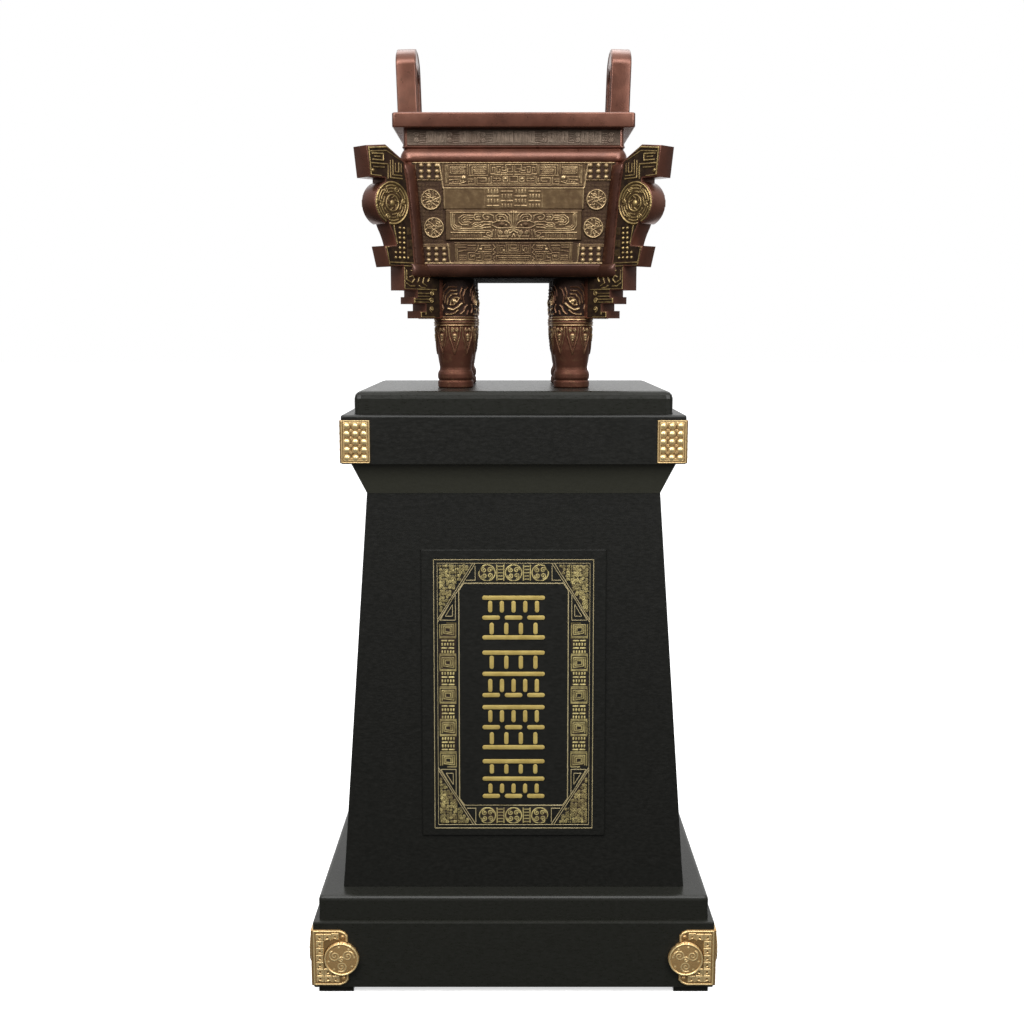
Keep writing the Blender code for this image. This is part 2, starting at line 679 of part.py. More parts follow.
def add_flange_relief(form, details, frame):
    """Roundel, hook fret, foot line and step lines on both sides of a flange."""
    hook_low = HOOK_TOP - HOOK_HEIGHT
    wide = RELIEF_LINE * 1.4
    foot = FLANGE_FOOT_TOP - FLANGE_FOOT_HEIGHT * 0.80
    outer, first, middle, second, inner = STEP_REACHES
    top, first_top, first_low, second_top, second_low, low = STEP_LIFTS
    fret_low = hook_low + HOOK_HEIGHT * 0.36
    fret_top = HOOK_TOP - HOOK_HEIGHT * 0.12
    fret = [(HOOK_REACH * 0.50, fret_low), (HOOK_REACH * 0.88, fret_low),
            (HOOK_REACH * 0.90, fret_top), (HOOK_REACH * 0.56, fret_top)]
    centre = (DISC_REACH, DISC_LIFT)
    steps = ((first, outer, first_top), (second, middle, second_top))
    for face in both_sides(frame, FLANGE_THICKNESS):
        add_disc(form, face, centre, DISC_RADIUS * 0.90, RELIEF_RISE, 0, 10, 0.95)
        add_stud(details, face, centre, DISC_RADIUS * 0.50, RELIEF_RISE * 1.5, RELIEF_RISE, 6)
        add_strip(form, face, fret, wide, RELIEF_RISE)
        add_strip(form, face, [(wide * 3, foot), (FLANGE_FOOT_REACH * 0.84, foot)], wide, RELIEF_RISE)
        for start, end, level in steps:
            line = [(start + wide, level + wide), (end - wide, level + wide)]
            add_strip(form, face, line, RELIEF_LINE, RELIEF_RISE)


def ear_outline():
    """An upright loop: outer arch, then the opening's arch."""
    low = -EAR_ROOT
    shoulder = EAR_HEIGHT - EAR_ARCH
    inner = EAR_HALF_DEPTH - EAR_BAR
    crown = EAR_HEIGHT - EAR_CROWN
    outer = arc((0, shoulder), (EAR_HALF_DEPTH, EAR_ARCH), 0, 180, 10)
    opening = arc((0, crown - inner * 0.7), (inner, inner * 0.7), 180, 0, 8)
    return [(EAR_HALF_DEPTH, low), *outer, (-EAR_HALF_DEPTH, low), (-inner, low), *opening, (inner, low)]


def ear_frames():
    """Frames of the two ears at the vessel's mouth: x along the depth, y up, z sideways."""
    reach = RIM_HALF[0] - EAR_INSET - EAR_THICKNESS / 2
    for side in (-1, 1):
        lean = Matrix.Rotation(side * EAR_LEAN, 4, "Y")
        stand = Matrix.Translation((side * reach, 0, DING_BASE + MOUTH_LEVEL)) @ lean
        yield stand @ Matrix(((0, 0, side, 0), (side, 0, 0, 0), (0, 1, 0, 0), (0, 0, 0, 1)))


def add_ear_relief(form, frame):
    """A thin raised line that follows the ear's outline, on both sides."""
    line = EAR_HALF_DEPTH - EAR_BORDER
    arch = arc((0, EAR_HEIGHT - EAR_ARCH), (line, EAR_ARCH - EAR_BORDER), 0, 180, 5)
    for face in both_sides(frame, EAR_THICKNESS):
        add_strip(form, face, [(line, EAR_BORDER), *arch, (-line, EAR_BORDER)], RELIEF_LINE, RELIEF_RISE)


def panel_face(quarter):
    """Frame of one leaning panel: x to the right, y up the slope from its middle, z outwards."""
    reach = CORNER_MID[1 - quarter % 2]
    middle = Matrix.Translation((0, -reach, DING_BASE + PANEL_MIDDLE))
    turn = Matrix.Rotation(math.radians(90) * quarter, 4, "Z")
    return turn @ middle @ Matrix.Rotation(math.radians(90) + PANEL_LEAN, 4, "X")


def panel_half(half, up):
    """Half width of the flat part of a panel, at a height from its middle."""
    return CORNER_MID[half] - CORNER_RADIUS + up / PANEL_HEIGHT * PANEL_TAPER


def divider(half, up):
    """Distance of the line between a panel's middle and its boss grids."""
    return panel_half(half, up) - GRID_WIDTH + RELIEF_LINE / 2


def add_boss_grid(form, face, half, side, level):
    """Nine studs in one corner of a panel."""
    for column in (-1, 0, 1):
        for row in (-1, 0, 1):
            across = panel_half(half, level) - GRID_WIDTH / 2 + GRID_PITCH[0] * column
            spot = (side * across, level + GRID_PITCH[1] * row)
            add_stud(form, face, spot, min(GRID_PITCH) * STUD_FILL, GRID_STUD_HEIGHT)


def add_medallions(form, details, face, half, side):
    gap = PANEL_HEIGHT / 2 - GRID_HEIGHT
    for level in (gap * 0.40, -gap * 0.42):
        spot = (side * (panel_half(half, level) - GRID_WIDTH * 0.50), level)
        add_disc(form, face, spot, MEDALLION_RADIUS, MEDALLION_RISE)
        add_stud(details, face, spot, MEDALLION_RADIUS * 0.55, MEDALLION_RISE * 0.7, MEDALLION_RISE, 6)


def add_lines(form, face, half):
    """Lines along a panel's top and foot, and beside its boss grids."""
    edge = PANEL_HEIGHT / 2 - RELIEF_LINE
    for level in (edge, -edge):
        wide = panel_half(half, level)
        add_strip(form, face, [(-wide, level), (wide, level)], RELIEF_LINE, RELIEF_RISE)
    for side in (-1, 1):
        ends = [(side * divider(half, up), up) for up in (edge - RELIEF_LINE, RELIEF_LINE - edge)]
        add_strip(form, face, ends, RELIEF_LINE, RELIEF_RISE)


def plate_half(half, low):
    return divider(half, low) - RELIEF_LINE * 1.2


def add_plates(form, face, half):
    """The plain upper plate, and the thicker plate with the mask."""
    for (top, low), rise in ((PLAIN_PLATE, PLAIN_RISE), (MASK_PLATE, PLATE_RISE)):
        wide = plate_half(half, low * PANEL_HEIGHT)
        line = [(-wide, (top + low) / 2 * PANEL_HEIGHT), (wide, (top + low) / 2 * PANEL_HEIGHT)]
        add_strip(form, face, line, (top - low) * PANEL_HEIGHT, rise)


def add_mask(details, face, half):
    """A beast mask: nose ridge, eyes, brows and jaws."""
    centre = (MASK_PLATE[0] + MASK_PLATE[1]) / 2 * PANEL_HEIGHT
    unit = (MASK_PLATE[0] - MASK_PLATE[1]) * PANEL_HEIGHT / 12
    span = plate_half(half, MASK_PLATE[1] * PANEL_HEIGHT)
    nose = [(0, centre - unit * 3.4), (0, centre + unit * 5)]
    add_strip(details, face, nose, RELIEF_LINE * 2, RELIEF_RISE * 1.5, PLATE_RISE)
    for side in (-1, 1):
        eye = (side * span * 0.28, centre + unit * 0.2)
        add_stud(details, face, eye, unit * 1.3, RELIEF_RISE * 2, PLATE_RISE, 6)
        brow = [(side * span * 0.10, centre + unit * 3.0), (side * span * 0.46, centre + unit * 3.6),
                (side * span * 0.62, centre + unit * 1.0), (side * span * 0.46, centre - unit * 1.4)]
        add_strip(details, face, brow, RELIEF_LINE, RELIEF_RISE, PLATE_RISE)
        jaw = [(side * span * 0.10, centre - unit * 4.2), (side * span * 0.76, centre - unit * 4.4),
               (side * span * 0.88, centre + unit * 1.6)]
        add_strip(details, face, jaw, RELIEF_LINE, RELIEF_RISE, PLATE_RISE)


def add_dragons(form, face, half, level, plainer):
    """Two stepped dragons that meet at the middle of a band."""
    unit = GRID_HEIGHT / 6
    span = plate_half(half, level)
    add_strip(form, face, [(0, level - unit * 2), (0, level + unit * 2)], RELIEF_LINE * 1.5, RELIEF_RISE)
    for side in (-1, 1):
        back = [(side * span * 0.12, level + unit), (side * span * 0.52, level + unit * 1.4),
                (side * span * 0.60, level - unit * 0.3), (side * span * 0.90, level + unit * 0.3)]
        add_strip(form, face, back, RELIEF_LINE, RELIEF_RISE)
        if plainer:
            continue
        belly = [(side * span * 0.16, level - unit * 0.8), (side * span * 0.40, level - unit * 1.8),
                 (side * span * 0.84, level - unit * 1.9)]
        add_strip(form, face, belly, RELIEF_LINE, RELIEF_RISE)


def add_strokes(details, face):
    """Rows of short shallow strokes that are no letters, on the plain plate."""
    middle = (PLAIN_PLATE[0] + PLAIN_PLATE[1]) / 2 * PANEL_HEIGHT
    for place in range(4):
        across = (place - 1.5) * GRID_PITCH[0] * 1.5
        for row in (-1, 0, 1):
            reach = GRID_PITCH[0] * (0.45 if row else 0.30)
            up = middle + row * RELIEF_LINE * 2.2
            add_strip(details, face, [(across - reach, up), (across + reach, up)], RELIEF_LINE * 0.7,
                      RELIEF_RISE * 0.5, PLAIN_RISE)


def add_panel_relief(form, details):
    """Relief of the four panels. The back is plainer, and the narrow ones more so."""
    grid = (PANEL_HEIGHT - GRID_HEIGHT) / 2 - RELIEF_LINE
    for quarter in range(4):
        half = quarter % 2
        face = panel_face(quarter)
        add_lines(form, face, half)
        add_plates(form, face, half)
        add_mask(details, face, half)
        for side in (-1, 1):
            add_boss_grid(form, face, half, side, grid)
            add_medallions(form, details, face, half, side)
        if half == 0:
            add_dragons(form, face, half, grid, quarter > 0)
            add_dragons(form, face, half, -grid, quarter > 0)
    for side in (-1, 1):
        add_boss_grid(form, panel_face(0), 0, side, -grid)
    add_strokes(details, panel_face(0))


def build_ding(group, cuts, material):
    """The vessel, cast in one with its ears, legs and flanges, and hollow to its floor."""
    form = bmesh.new()
    add_loft(form, body_rings())
    ding = add_object("ding", form, group, material)
    names = ("cavity", "legs", "flanges", "ears", "relief", "details")
    forms = {name: bmesh.new() for name in names}
    add_loft(forms["cavity"], cavity_rings())
    add_legs(forms["legs"], cuts)
    for side_x in (-1, 1):
        for side_y in (-1, 1):
            frame = diagonal_plane(CORNER_MID, side_x, side_y)
            add_outline(forms["flanges"], flange_outline(), FLANGE_THICKNESS, frame)
            add_flange_relief(forms["relief"], forms["details"], frame)
    for frame in ear_frames():
        add_outline(forms["ears"], ear_outline(), EAR_THICKNESS, frame)
        add_ear_relief(forms["relief"], frame)
    add_panel_relief(forms["relief"], forms["details"])
    for name in names:
        guide = add_guide("ding_" + name, forms[name], cuts)
        add_boolean(ding, guide, "DIFFERENCE" if name == "cavity" else "UNION")
    smooth(ding, 35)


def main():
    clear_scene()
    pieces = make_collection("bronze_ding_on_pedestal")
    cuts = make_collection("guides")
    bronze = make_material("patinated_bronze", BRONZE, 0.42, 0.85)
    lacquer = make_material("black_lacquer", LACQUER, 0.35, 0.0)
    gilt = make_material("gilt", GILT, 0.38, 1.0)
    plaque = make_material("plaque_gold", PLAQUE_GOLD, 0.40, 0.4)
    build_pedestal(pieces, lacquer, plaque)
    build_fittings(pieces, cuts, gilt)
    build_ding(pieces, cuts, bronze)


main()
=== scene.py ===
import math

import bmesh
import bpy
import numpy as np
from mathutils import Matrix, Vector


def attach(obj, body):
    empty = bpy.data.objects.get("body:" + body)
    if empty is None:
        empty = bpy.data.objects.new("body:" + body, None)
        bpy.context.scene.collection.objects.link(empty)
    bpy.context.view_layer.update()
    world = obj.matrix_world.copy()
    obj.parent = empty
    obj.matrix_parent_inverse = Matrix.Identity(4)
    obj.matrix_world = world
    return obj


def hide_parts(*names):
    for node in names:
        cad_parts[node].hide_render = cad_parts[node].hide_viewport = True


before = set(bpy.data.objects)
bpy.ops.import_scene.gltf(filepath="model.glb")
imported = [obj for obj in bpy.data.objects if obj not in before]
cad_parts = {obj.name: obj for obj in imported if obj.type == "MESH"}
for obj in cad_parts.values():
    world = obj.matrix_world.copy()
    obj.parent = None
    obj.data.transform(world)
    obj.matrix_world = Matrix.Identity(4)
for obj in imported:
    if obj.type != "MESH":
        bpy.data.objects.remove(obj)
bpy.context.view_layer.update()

# Grid steps of the carved sheets, fine where the camera sees them
FINE = 0.0007
COARSE = 0.00142
DIAGONAL = math.sqrt(0.5)
QUARTER_TURN = math.radians(90)
TINY = 1e-12
# How far a sheet's rim goes into the solid, and how far its ground stands out of it
SINK, SKIN = 0.0012, 0.0003
# How far a medallion's spokes lean, in degrees
SPOKE_LEAN = math.degrees(0.5)
CORNERS = [(side_x, side_y, f"{end}_{side}") for side_x, side in ((-1, "left"), (1, "right"))
           for side_y, end in ((-1, "front"), (1, "back"))]

# Sizes repeated from the CAD source, in metres

FLOOR = 0.8813
LEG_HEIGHT, BELLY_ROUND, FOOT_LEVEL, TOP_LEVEL = 0.1593, 0.0112, 0.1791, 0.3201
NECK_LEVEL, RIM_LEVEL, MOUTH_LEVEL = 0.3426, 0.3659, 0.3868
TOP_HALF, FOOT_HALF = (0.1598, 0.1325), (0.1478, 0.1205)
NECK_HALF, RIM_HALF, LIP_HALF = (0.1562, 0.1289), (0.1705, 0.1432), (0.1414, 0.1141)
CORNER_MID, CORNER_RADIUS, WALL = (0.1538, 0.1265), 0.019, 0.0065
PANEL_MIDDLE, PANEL_HEIGHT, PANEL_TAPER = 0.2496, 0.1410, 0.0120
PANEL_LEAN = math.atan2(PANEL_TAPER, PANEL_HEIGHT)
LEG_SPOT = (0.0865, 0.072)
FLANGE_HALF = 0.0145
HOOK_REACH, HOOK_TOP, HOOK_LOW, HOOK_NECK, HOOK_RISE = 0.0814, 0.3350, 0.2937, 0.0485, 0.0042
DISC, DISC_RADIUS = (0.0375, 0.2607), 0.0305
FACE_EDGE = ((0.17, 0.235, 0.26, 0.29, 0.31), (-0.004, 0.002, 0.0055, 0.009, 0.0135))
WAIST_REACH, FOOT_REACH, FOOT_TOP, FOOT_LOW = 0.0305, 0.0520, 0.2017, 0.1732
STEP_REACHES = (0.0180, -0.0065, 0.0000, -0.0227, -0.0125)
STEP_LIFTS = (0.1750, 0.1412, 0.1322, 0.1221, 0.1124, 0.1017)
EAR_HALF, EAR_OPEN, EAR_TALL, EAR_ARCH, EAR_CROWN = 0.05, 0.027, 0.1119, 0.03, 0.0849
COLLAR_HALF, COLLAR_BASE = (0.2432, 0.1987), 0.7795
PLINTH_HALF, PLINTH_BASE = (0.2935, 0.2381), 0.0103
TRUNK_FOOT, TRUNK_TOP, TRUNK_BASE, TRUNK_TALL = (0.2527, 0.1973), (0.2118, 0.1673), 0.1479, 0.5858
PLAQUE_FRONT = 0.0033


# Materials

def new_material(name):
    material = bpy.data.materials.new(name)
    material.use_nodes = True
    return material, material.node_tree


def link(tree, start, end):
    tree.links.new(start, end)


def noise(tree, scale, detail=4.0, stretch=(1, 1, 1), rough=0.55):
    """Object-space noise, stretched along the axes."""
    where = tree.nodes.new("ShaderNodeTexCoord")
    mapping = tree.nodes.new("ShaderNodeMapping")
    mapping.inputs["Scale"].default_value = stretch
    made = tree.nodes.new("ShaderNodeTexNoise")
    made.inputs["Scale"].default_value = scale
    made.inputs["Detail"].default_value = detail
    made.inputs["Roughness"].default_value = rough
    link(tree, where.outputs["Object"], mapping.inputs["Vector"])
    link(tree, mapping.outputs["Vector"], made.inputs["Vector"])
    return made.outputs["Fac"]


def ramp(tree, value, stops):
    """Colours by value; each stop is a place and a colour or grey."""
    made = tree.nodes.new("ShaderNodeValToRGB")
    elements = made.color_ramp.elements
    while len(elements) < len(stops):
        elements.new(0.5)
    for element, (place, colour) in zip(elements, stops):
        element.position = place
        grey = isinstance(colour, float)
        element.color = (colour, colour, colour, 1) if grey else (*colour, 1)
    link(tree, value, made.inputs["Fac"])
    return made.outputs["Color"]


def mix(tree, share, first, second, mode="MIX"):
    made = tree.nodes.new("ShaderNodeMix")
    made.data_type = "RGBA"
    made.blend_type = mode
    for socket, value in ((made.inputs[0], share), (made.inputs[6], first), (made.inputs[7], second)):
        if isinstance(value, (int, float)):
            socket.default_value = value
        elif isinstance(value, tuple):
            socket.default_value = (*value, 1)
        else:
            link(tree, value, socket)
    return made.outputs[2]


def bump(tree, height, strength, distance):
    made = tree.nodes.new("ShaderNodeBump")
    made.inputs["Strength"].default_value = strength
    made.inputs["Distance"].default_value = distance
    link(tree, height, made.inputs["Height"])
    link(tree, made.outputs["Normal"], tree.nodes["Principled BSDF"].inputs["Normal"])


def finish(tree, colour, roughness, metallic):
    shader = tree.nodes["Principled BSDF"]
    link(tree, colour, shader.inputs["Base Color"])
    link(tree, roughness, shader.inputs["Roughness"])
    shader.inputs["Metallic"].default_value = metallic
    return shader


def gilding(tree):
    made = tree.nodes.new("ShaderNodeAttribute")
    made.attribute_name = "gilding"
    return made.outputs["Fac"]


def make_bronze(name, painted_shade_low):
    """Chocolate brown patina, redder and paler in clouds, with fine pitting. It may carry painted shade,
    darker downwards.
    """
    material, tree = new_material(name)
    clouds = noise(tree, 9, 5)
    colour = ramp(tree, clouds, ((0.30, (0.115, 0.038, 0.021)), (0.55, (0.190, 0.072, 0.044)),
                                 (0.75, (0.250, 0.108, 0.070))))
    if painted_shade_low:
        # Painted shade: below the neck the colour is multiplied darker, most at the body's foot, for light
        # falling off downwards.
        split = tree.nodes.new("ShaderNodeSeparateXYZ")
        where = tree.nodes.new("ShaderNodeTexCoord")
        link(tree, where.outputs["Object"], split.inputs["Vector"])
        lift = tree.nodes.new("ShaderNodeMapRange")
        lift.inputs["From Min"].default_value = FLOOR + LEG_HEIGHT
        lift.inputs["From Max"].default_value = FLOOR + NECK_LEVEL
        link(tree, split.outputs["Z"], lift.inputs["Value"])
        shade = ramp(tree, lift.outputs["Result"], ((0.08, (0.42, 0.38, 0.35)), (0.80, (0.56, 0.48, 0.42)),
                                                    (0.90, (1.0, 1.0, 1.0))))
        colour = mix(tree, 1.0, colour, shade, "MULTIPLY")
    stains = ramp(tree, noise(tree, 38, 6), ((0.45, 1.0), (0.70, 0.72)))
    colour = mix(tree, 1.0, colour, stains, "MULTIPLY")
    rough = ramp(tree, noise(tree, 60, 5), ((0.3, 0.25), (0.7, 0.38)))
    shader = finish(tree, colour, rough, 0.62)
    shader.inputs["Coat Weight"].default_value = 0.35
    shader.inputs["Coat Roughness"].default_value = 0.22
    bump(tree, noise(tree, 420, 3), 0.10, 0.0006)
    return material


def make_underside_shade():
    """The underside, painted dull and near-black as shade."""
    material, tree = new_material("painted_shade_underside")
    colour = ramp(tree, noise(tree, 30, 5), ((0.3, (0.016, 0.012, 0.011)), (0.7, (0.026, 0.020, 0.018))))
    rough = ramp(tree, noise(tree, 80, 4), ((0.3, 0.85), (0.7, 0.95)))
    finish(tree, colour, rough, 0.0).inputs["Specular IOR Level"].default_value = 0.05
    return material


def make_relief_bronze(name, dark, middle, bright, shine, plain=None, metal=0.70):
    """Dark ground in the hollows, rubbed gold on the ridges."""
    material, tree = new_material(name)
    ridge = gilding(tree)
    patchy = mix(tree, 0.42, ridge, ramp(tree, noise(tree, 120, 4), ((0.35, 0.0), (0.70, 1.0))), "MULTIPLY")
    stops = [(0.05, dark), (0.36, middle), (0.80, bright)]
    if plain:
        stops[1:1] = [(0.14, plain), (0.20, plain)]
    colour = ramp(tree, patchy, stops)
    veil = ramp(tree, noise(tree, 26, 5), ((0.45, 0.0), (0.72, 0.45)))
    colour = mix(tree, veil, colour, (0.070, 0.030, 0.018))
    rough = ramp(tree, ridge, ((0.0, 0.62), (1.0, shine)))
    finish(tree, colour, rough, metal)
    bump(tree, noise(tree, 700, 3), 0.14, 0.0005)
    return material


def make_lacquer(name, base, streak, dull, gloss=0.42):
    """Black satin lacquer over open grain that runs across."""
    material, tree = new_material(name)
    grain = noise(tree, 300, 5, (0.45, 1.0, 1.2), 0.60)
    fine = noise(tree, 520, 3)
    colour = ramp(tree, grain, ((0.35, base), (0.75, streak)))
    rough = ramp(tree, grain, ((0.30, dull), (0.75, dull + 0.14)))
    finish(tree, colour, rough, 0.0).inputs["Specular IOR Level"].default_value = gloss
    height = mix(tree, 0.45, grain, fine)
    bump(tree, height, 0.13, 0.0010)
    return material


def make_gilt():
    material, tree = new_material("gilt_fittings")
    ridge = gilding(tree)
    colour = ramp(tree, ridge, ((0.0, (0.190, 0.100, 0.034)), (0.45, (0.840, 0.535, 0.225)),
                                (1.0, (1.000, 0.770, 0.385))))
    rough = ramp(tree, noise(tree, 90, 5), ((0.3, 0.22), (0.7, 0.36)))
    finish(tree, colour, rough, 0.62)
    bump(tree, noise(tree, 620, 3), 0.12, 0.0004)
    return material


def make_plaque_gold(name, dull, bright):
    material, tree = new_material(name)
    colour = ramp(tree, noise(tree, 70, 5), ((0.3, dull), (0.7, bright)))
    rough = ramp(tree, noise(tree, 160, 4), ((0.3, 0.38), (0.7, 0.52)))
    finish(tree, colour, rough, 0.35)
    bump(tree, noise(tree, 500, 3), 0.10, 0.0004)
    return material


BRONZE = make_bronze("patinated_bronze_brown", False)
# The body's bronze carries painted shade, darker towards its foot.
BODY_BRONZE_SHADED_LOW = make_bronze("patinated_bronze_body_painted_shade", True)
# Near-black painted shade for the vessel's underside.
UNDERSIDE_SHADE = make_underside_shade()
PANEL_METAL = make_relief_bronze("patinated_bronze_relief", (0.062, 0.033, 0.020), (0.190, 0.120, 0.058),
                                 (0.620, 0.450, 0.240), 0.36)
NECK_METAL = make_relief_bronze("patinated_bronze_neck", (0.075, 0.052, 0.038), (0.170, 0.125, 0.092),
                                (0.330, 0.250, 0.190), 0.42)
FLANGE_METAL = make_relief_bronze("patinated_bronze_flange", (0.022, 0.011, 0.006), (0.130, 0.080, 0.030),
                                  (0.560, 0.410, 0.170), 0.34)
LEG_METAL = make_relief_bronze("patinated_bronze_leg", (0.020, 0.010, 0.007), (0.220, 0.120, 0.060),
                               (0.700, 0.500, 0.250), 0.30, (0.120, 0.042, 0.024))
LACQUER = make_lacquer("black_lacquer_grained", (0.0066, 0.0068, 0.0054), (0.012, 0.012, 0.010), 0.33)
# Painted light: the cornice's lacquer is a lighter copy of the black lacquer, olive-tinted, for the light it
# catches.
CORNICE_LACQUER_PAINTED_LIGHT = make_lacquer("black_lacquer_olive_painted_light", (0.0520, 0.0520, 0.0380), (0.060, 0.060, 0.045), 0.34)
# Painted light: the boards' lacquer is a lighter copy of the black lacquer, for the light their tops and
# edges catch.
BOARD_LACQUER_PAINTED_LIGHT = make_lacquer("black_lacquer_boards_painted_light", (0.0155, 0.0160, 0.0125), (0.021, 0.021, 0.018),
                             0.25, 0.30)
GILT = make_gilt()
PLAQUE_GOLD = make_plaque_gold("plaque_gold_strokes", (0.52, 0.375, 0.105), (0.70, 0.54, 0.175))
PLAQUE_LINE = make_plaque_gold("plaque_gold_lines", (0.44, 0.36, 0.185), (0.60, 0.50, 0.280))
PLAQUE_RELIEF = make_relief_bronze("plaque_gold_relief", (0.016, 0.013, 0.008), (0.280, 0.228, 0.092),
                                   (0.840, 0.700, 0.290), 0.42, None, 0.30)


# Meshes

def add_piece(name, mesh, material, node=None, angle=35):
    mesh.materials.append(material)
    mesh.shade_smooth()
    if angle:
        mesh.set_sharp_from_angle(angle=math.radians(angle))
    piece = bpy.data.objects.new(name, mesh)
    bpy.context.scene.collection.objects.link(piece)
    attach(piece, "root")
    if node:
        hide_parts(node)
    return piece


def add_sheet(name, sheet, place, material, node="ding"):
    add_piece(name, sheet.mesh(name, place), material, node, 0)


def from_form(name, form):
    bmesh.ops.recalc_face_normals(form, faces=form.faces)
    mesh = bpy.data.meshes.new(name)
    form.to_mesh(mesh)
    form.free()
    return mesh


def rounded_ring(half, radius, level):
    points = []
    segments = 12
    for quarter in range(4):
        side_x = 1 if quarter in (0, 3) else -1
        side_y = 1 if quarter in (0, 1) else -1
        centre = Vector((side_x * (half[0] - radius), side_y * (half[1] - radius), level))
        for step in range(segments + 1):
            angle = QUARTER_TURN * (quarter + step / segments)
            points.append(centre + radius * Vector((math.cos(angle), math.sin(angle), 0)))
    return points


def add_loft(form, rings):
    rows = [[form.verts.new(point) for point in ring] for ring in rings]
    count = len(rows[0])
    for low, high in zip(rows, rows[1:]):
        for i in range(count):
            j = (i + 1) % count
            form.faces.new((low[i], low[j], high[j], high[i]))
    form.faces.new(list(reversed(rows[0])))
    form.faces.new(rows[-1])


def polar(centre, radius, degrees):
    angle = math.radians(degrees)
    return centre[0] + radius * math.cos(angle), centre[1] + radius * math.sin(angle)


def rectangle(low, high):
    """Its outline as a closed line."""
    return [low, (low[0], high[1]), high, (high[0], low[1]), low]


def distance(x, y, points):
    """How far each place is from a line of straight steps."""
    far = np.full(x.shape, 1.0)
    for (ax, ay), (bx, by) in zip(points, points[1:]):
        dx, dy = bx - ax, by - ay
        along = np.clip(((x - ax) * dx + (y - ay) * dy) / (dx * dx + dy * dy + TINY), 0, 1)
        far = np.minimum(far, np.hypot(x - ax - along * dx, y - ay - along * dy))
    return far


def within(x, y, outline):
    """Which places lie inside an outline."""
    inside = np.zeros(x.shape, bool)
    for (ax, ay), (bx, by) in zip(outline, outline[1:] + outline[:1]):
        level = by - ay if abs(by - ay) > TINY else TINY
        inside ^= ((ay > y) != (by > y)) & (x < ax + (bx - ax) * (y - ay) / level)
    return inside


def arc(centre, radius, start, end, steps):
    across, up = (radius, radius) if isinstance(radius, float) else radius
    points = []
    for step in range(steps + 1):
        angle = math.radians(start + (end - start) * step / steps)
        points.append((centre[0] + across * math.cos(angle), centre[1] + up * math.sin(angle)))
    return points


def add_outline(form, points, thickness, place, edge=0.0, segments=2):
    """A flat outline as a plate with rounded rims."""
    part = bmesh.new()
    rows = [[part.verts.new((across, up, level)) for across, up in points]
            for level in (-thickness / 2, thickness / 2)]
    caps = [part.faces.new(rows[0][::-1]), part.faces.new(rows[1])]
    count = len(points)
    for i in range(count):
        j = (i + 1) % count
        part.faces.new((rows[0][i], rows[0][j], rows[1][j], rows[1][i]))
    bmesh.ops.recalc_face_normals(part, faces=part.faces)
    if edge:
        rims = [item for cap in caps for item in cap.edges]
        bmesh.ops.bevel(part, geom=rims, offset=edge, segments=segments, profile=0.5, affect="EDGES",
                        clamp_overlap=True)
    bmesh.ops.triangulate(part, faces=[face for face in part.faces if len(face.verts) > 4])
    bmesh.ops.transform(part, matrix=place, verts=part.verts)
    mesh = bpy.data.meshes.new("outline")
    part.to_mesh(mesh)
    part.free()
    form.from_mesh(mesh)
    bpy.data.meshes.remove(mesh)


def strip_outline(points, width):
    path = [Vector(point) for point in points]
    left = []
    right = []
    for i, point in enumerate(path):
        before = (point - path[max(i - 1, 0)]).normalized()
        after = (path[min(i + 1, len(path) - 1)] - point).normalized()
        if i == 0:
            before = after
        if i == len(path) - 1:
            after = before
        along = (before + after).normalized()
        reach = width / 2 / along.dot(before)
        side = Vector((-along.y, along.x)) * reach
        left.append(point + side)
        right.append(point - side)
    return [tuple(point) for point in left + right[::-1]]


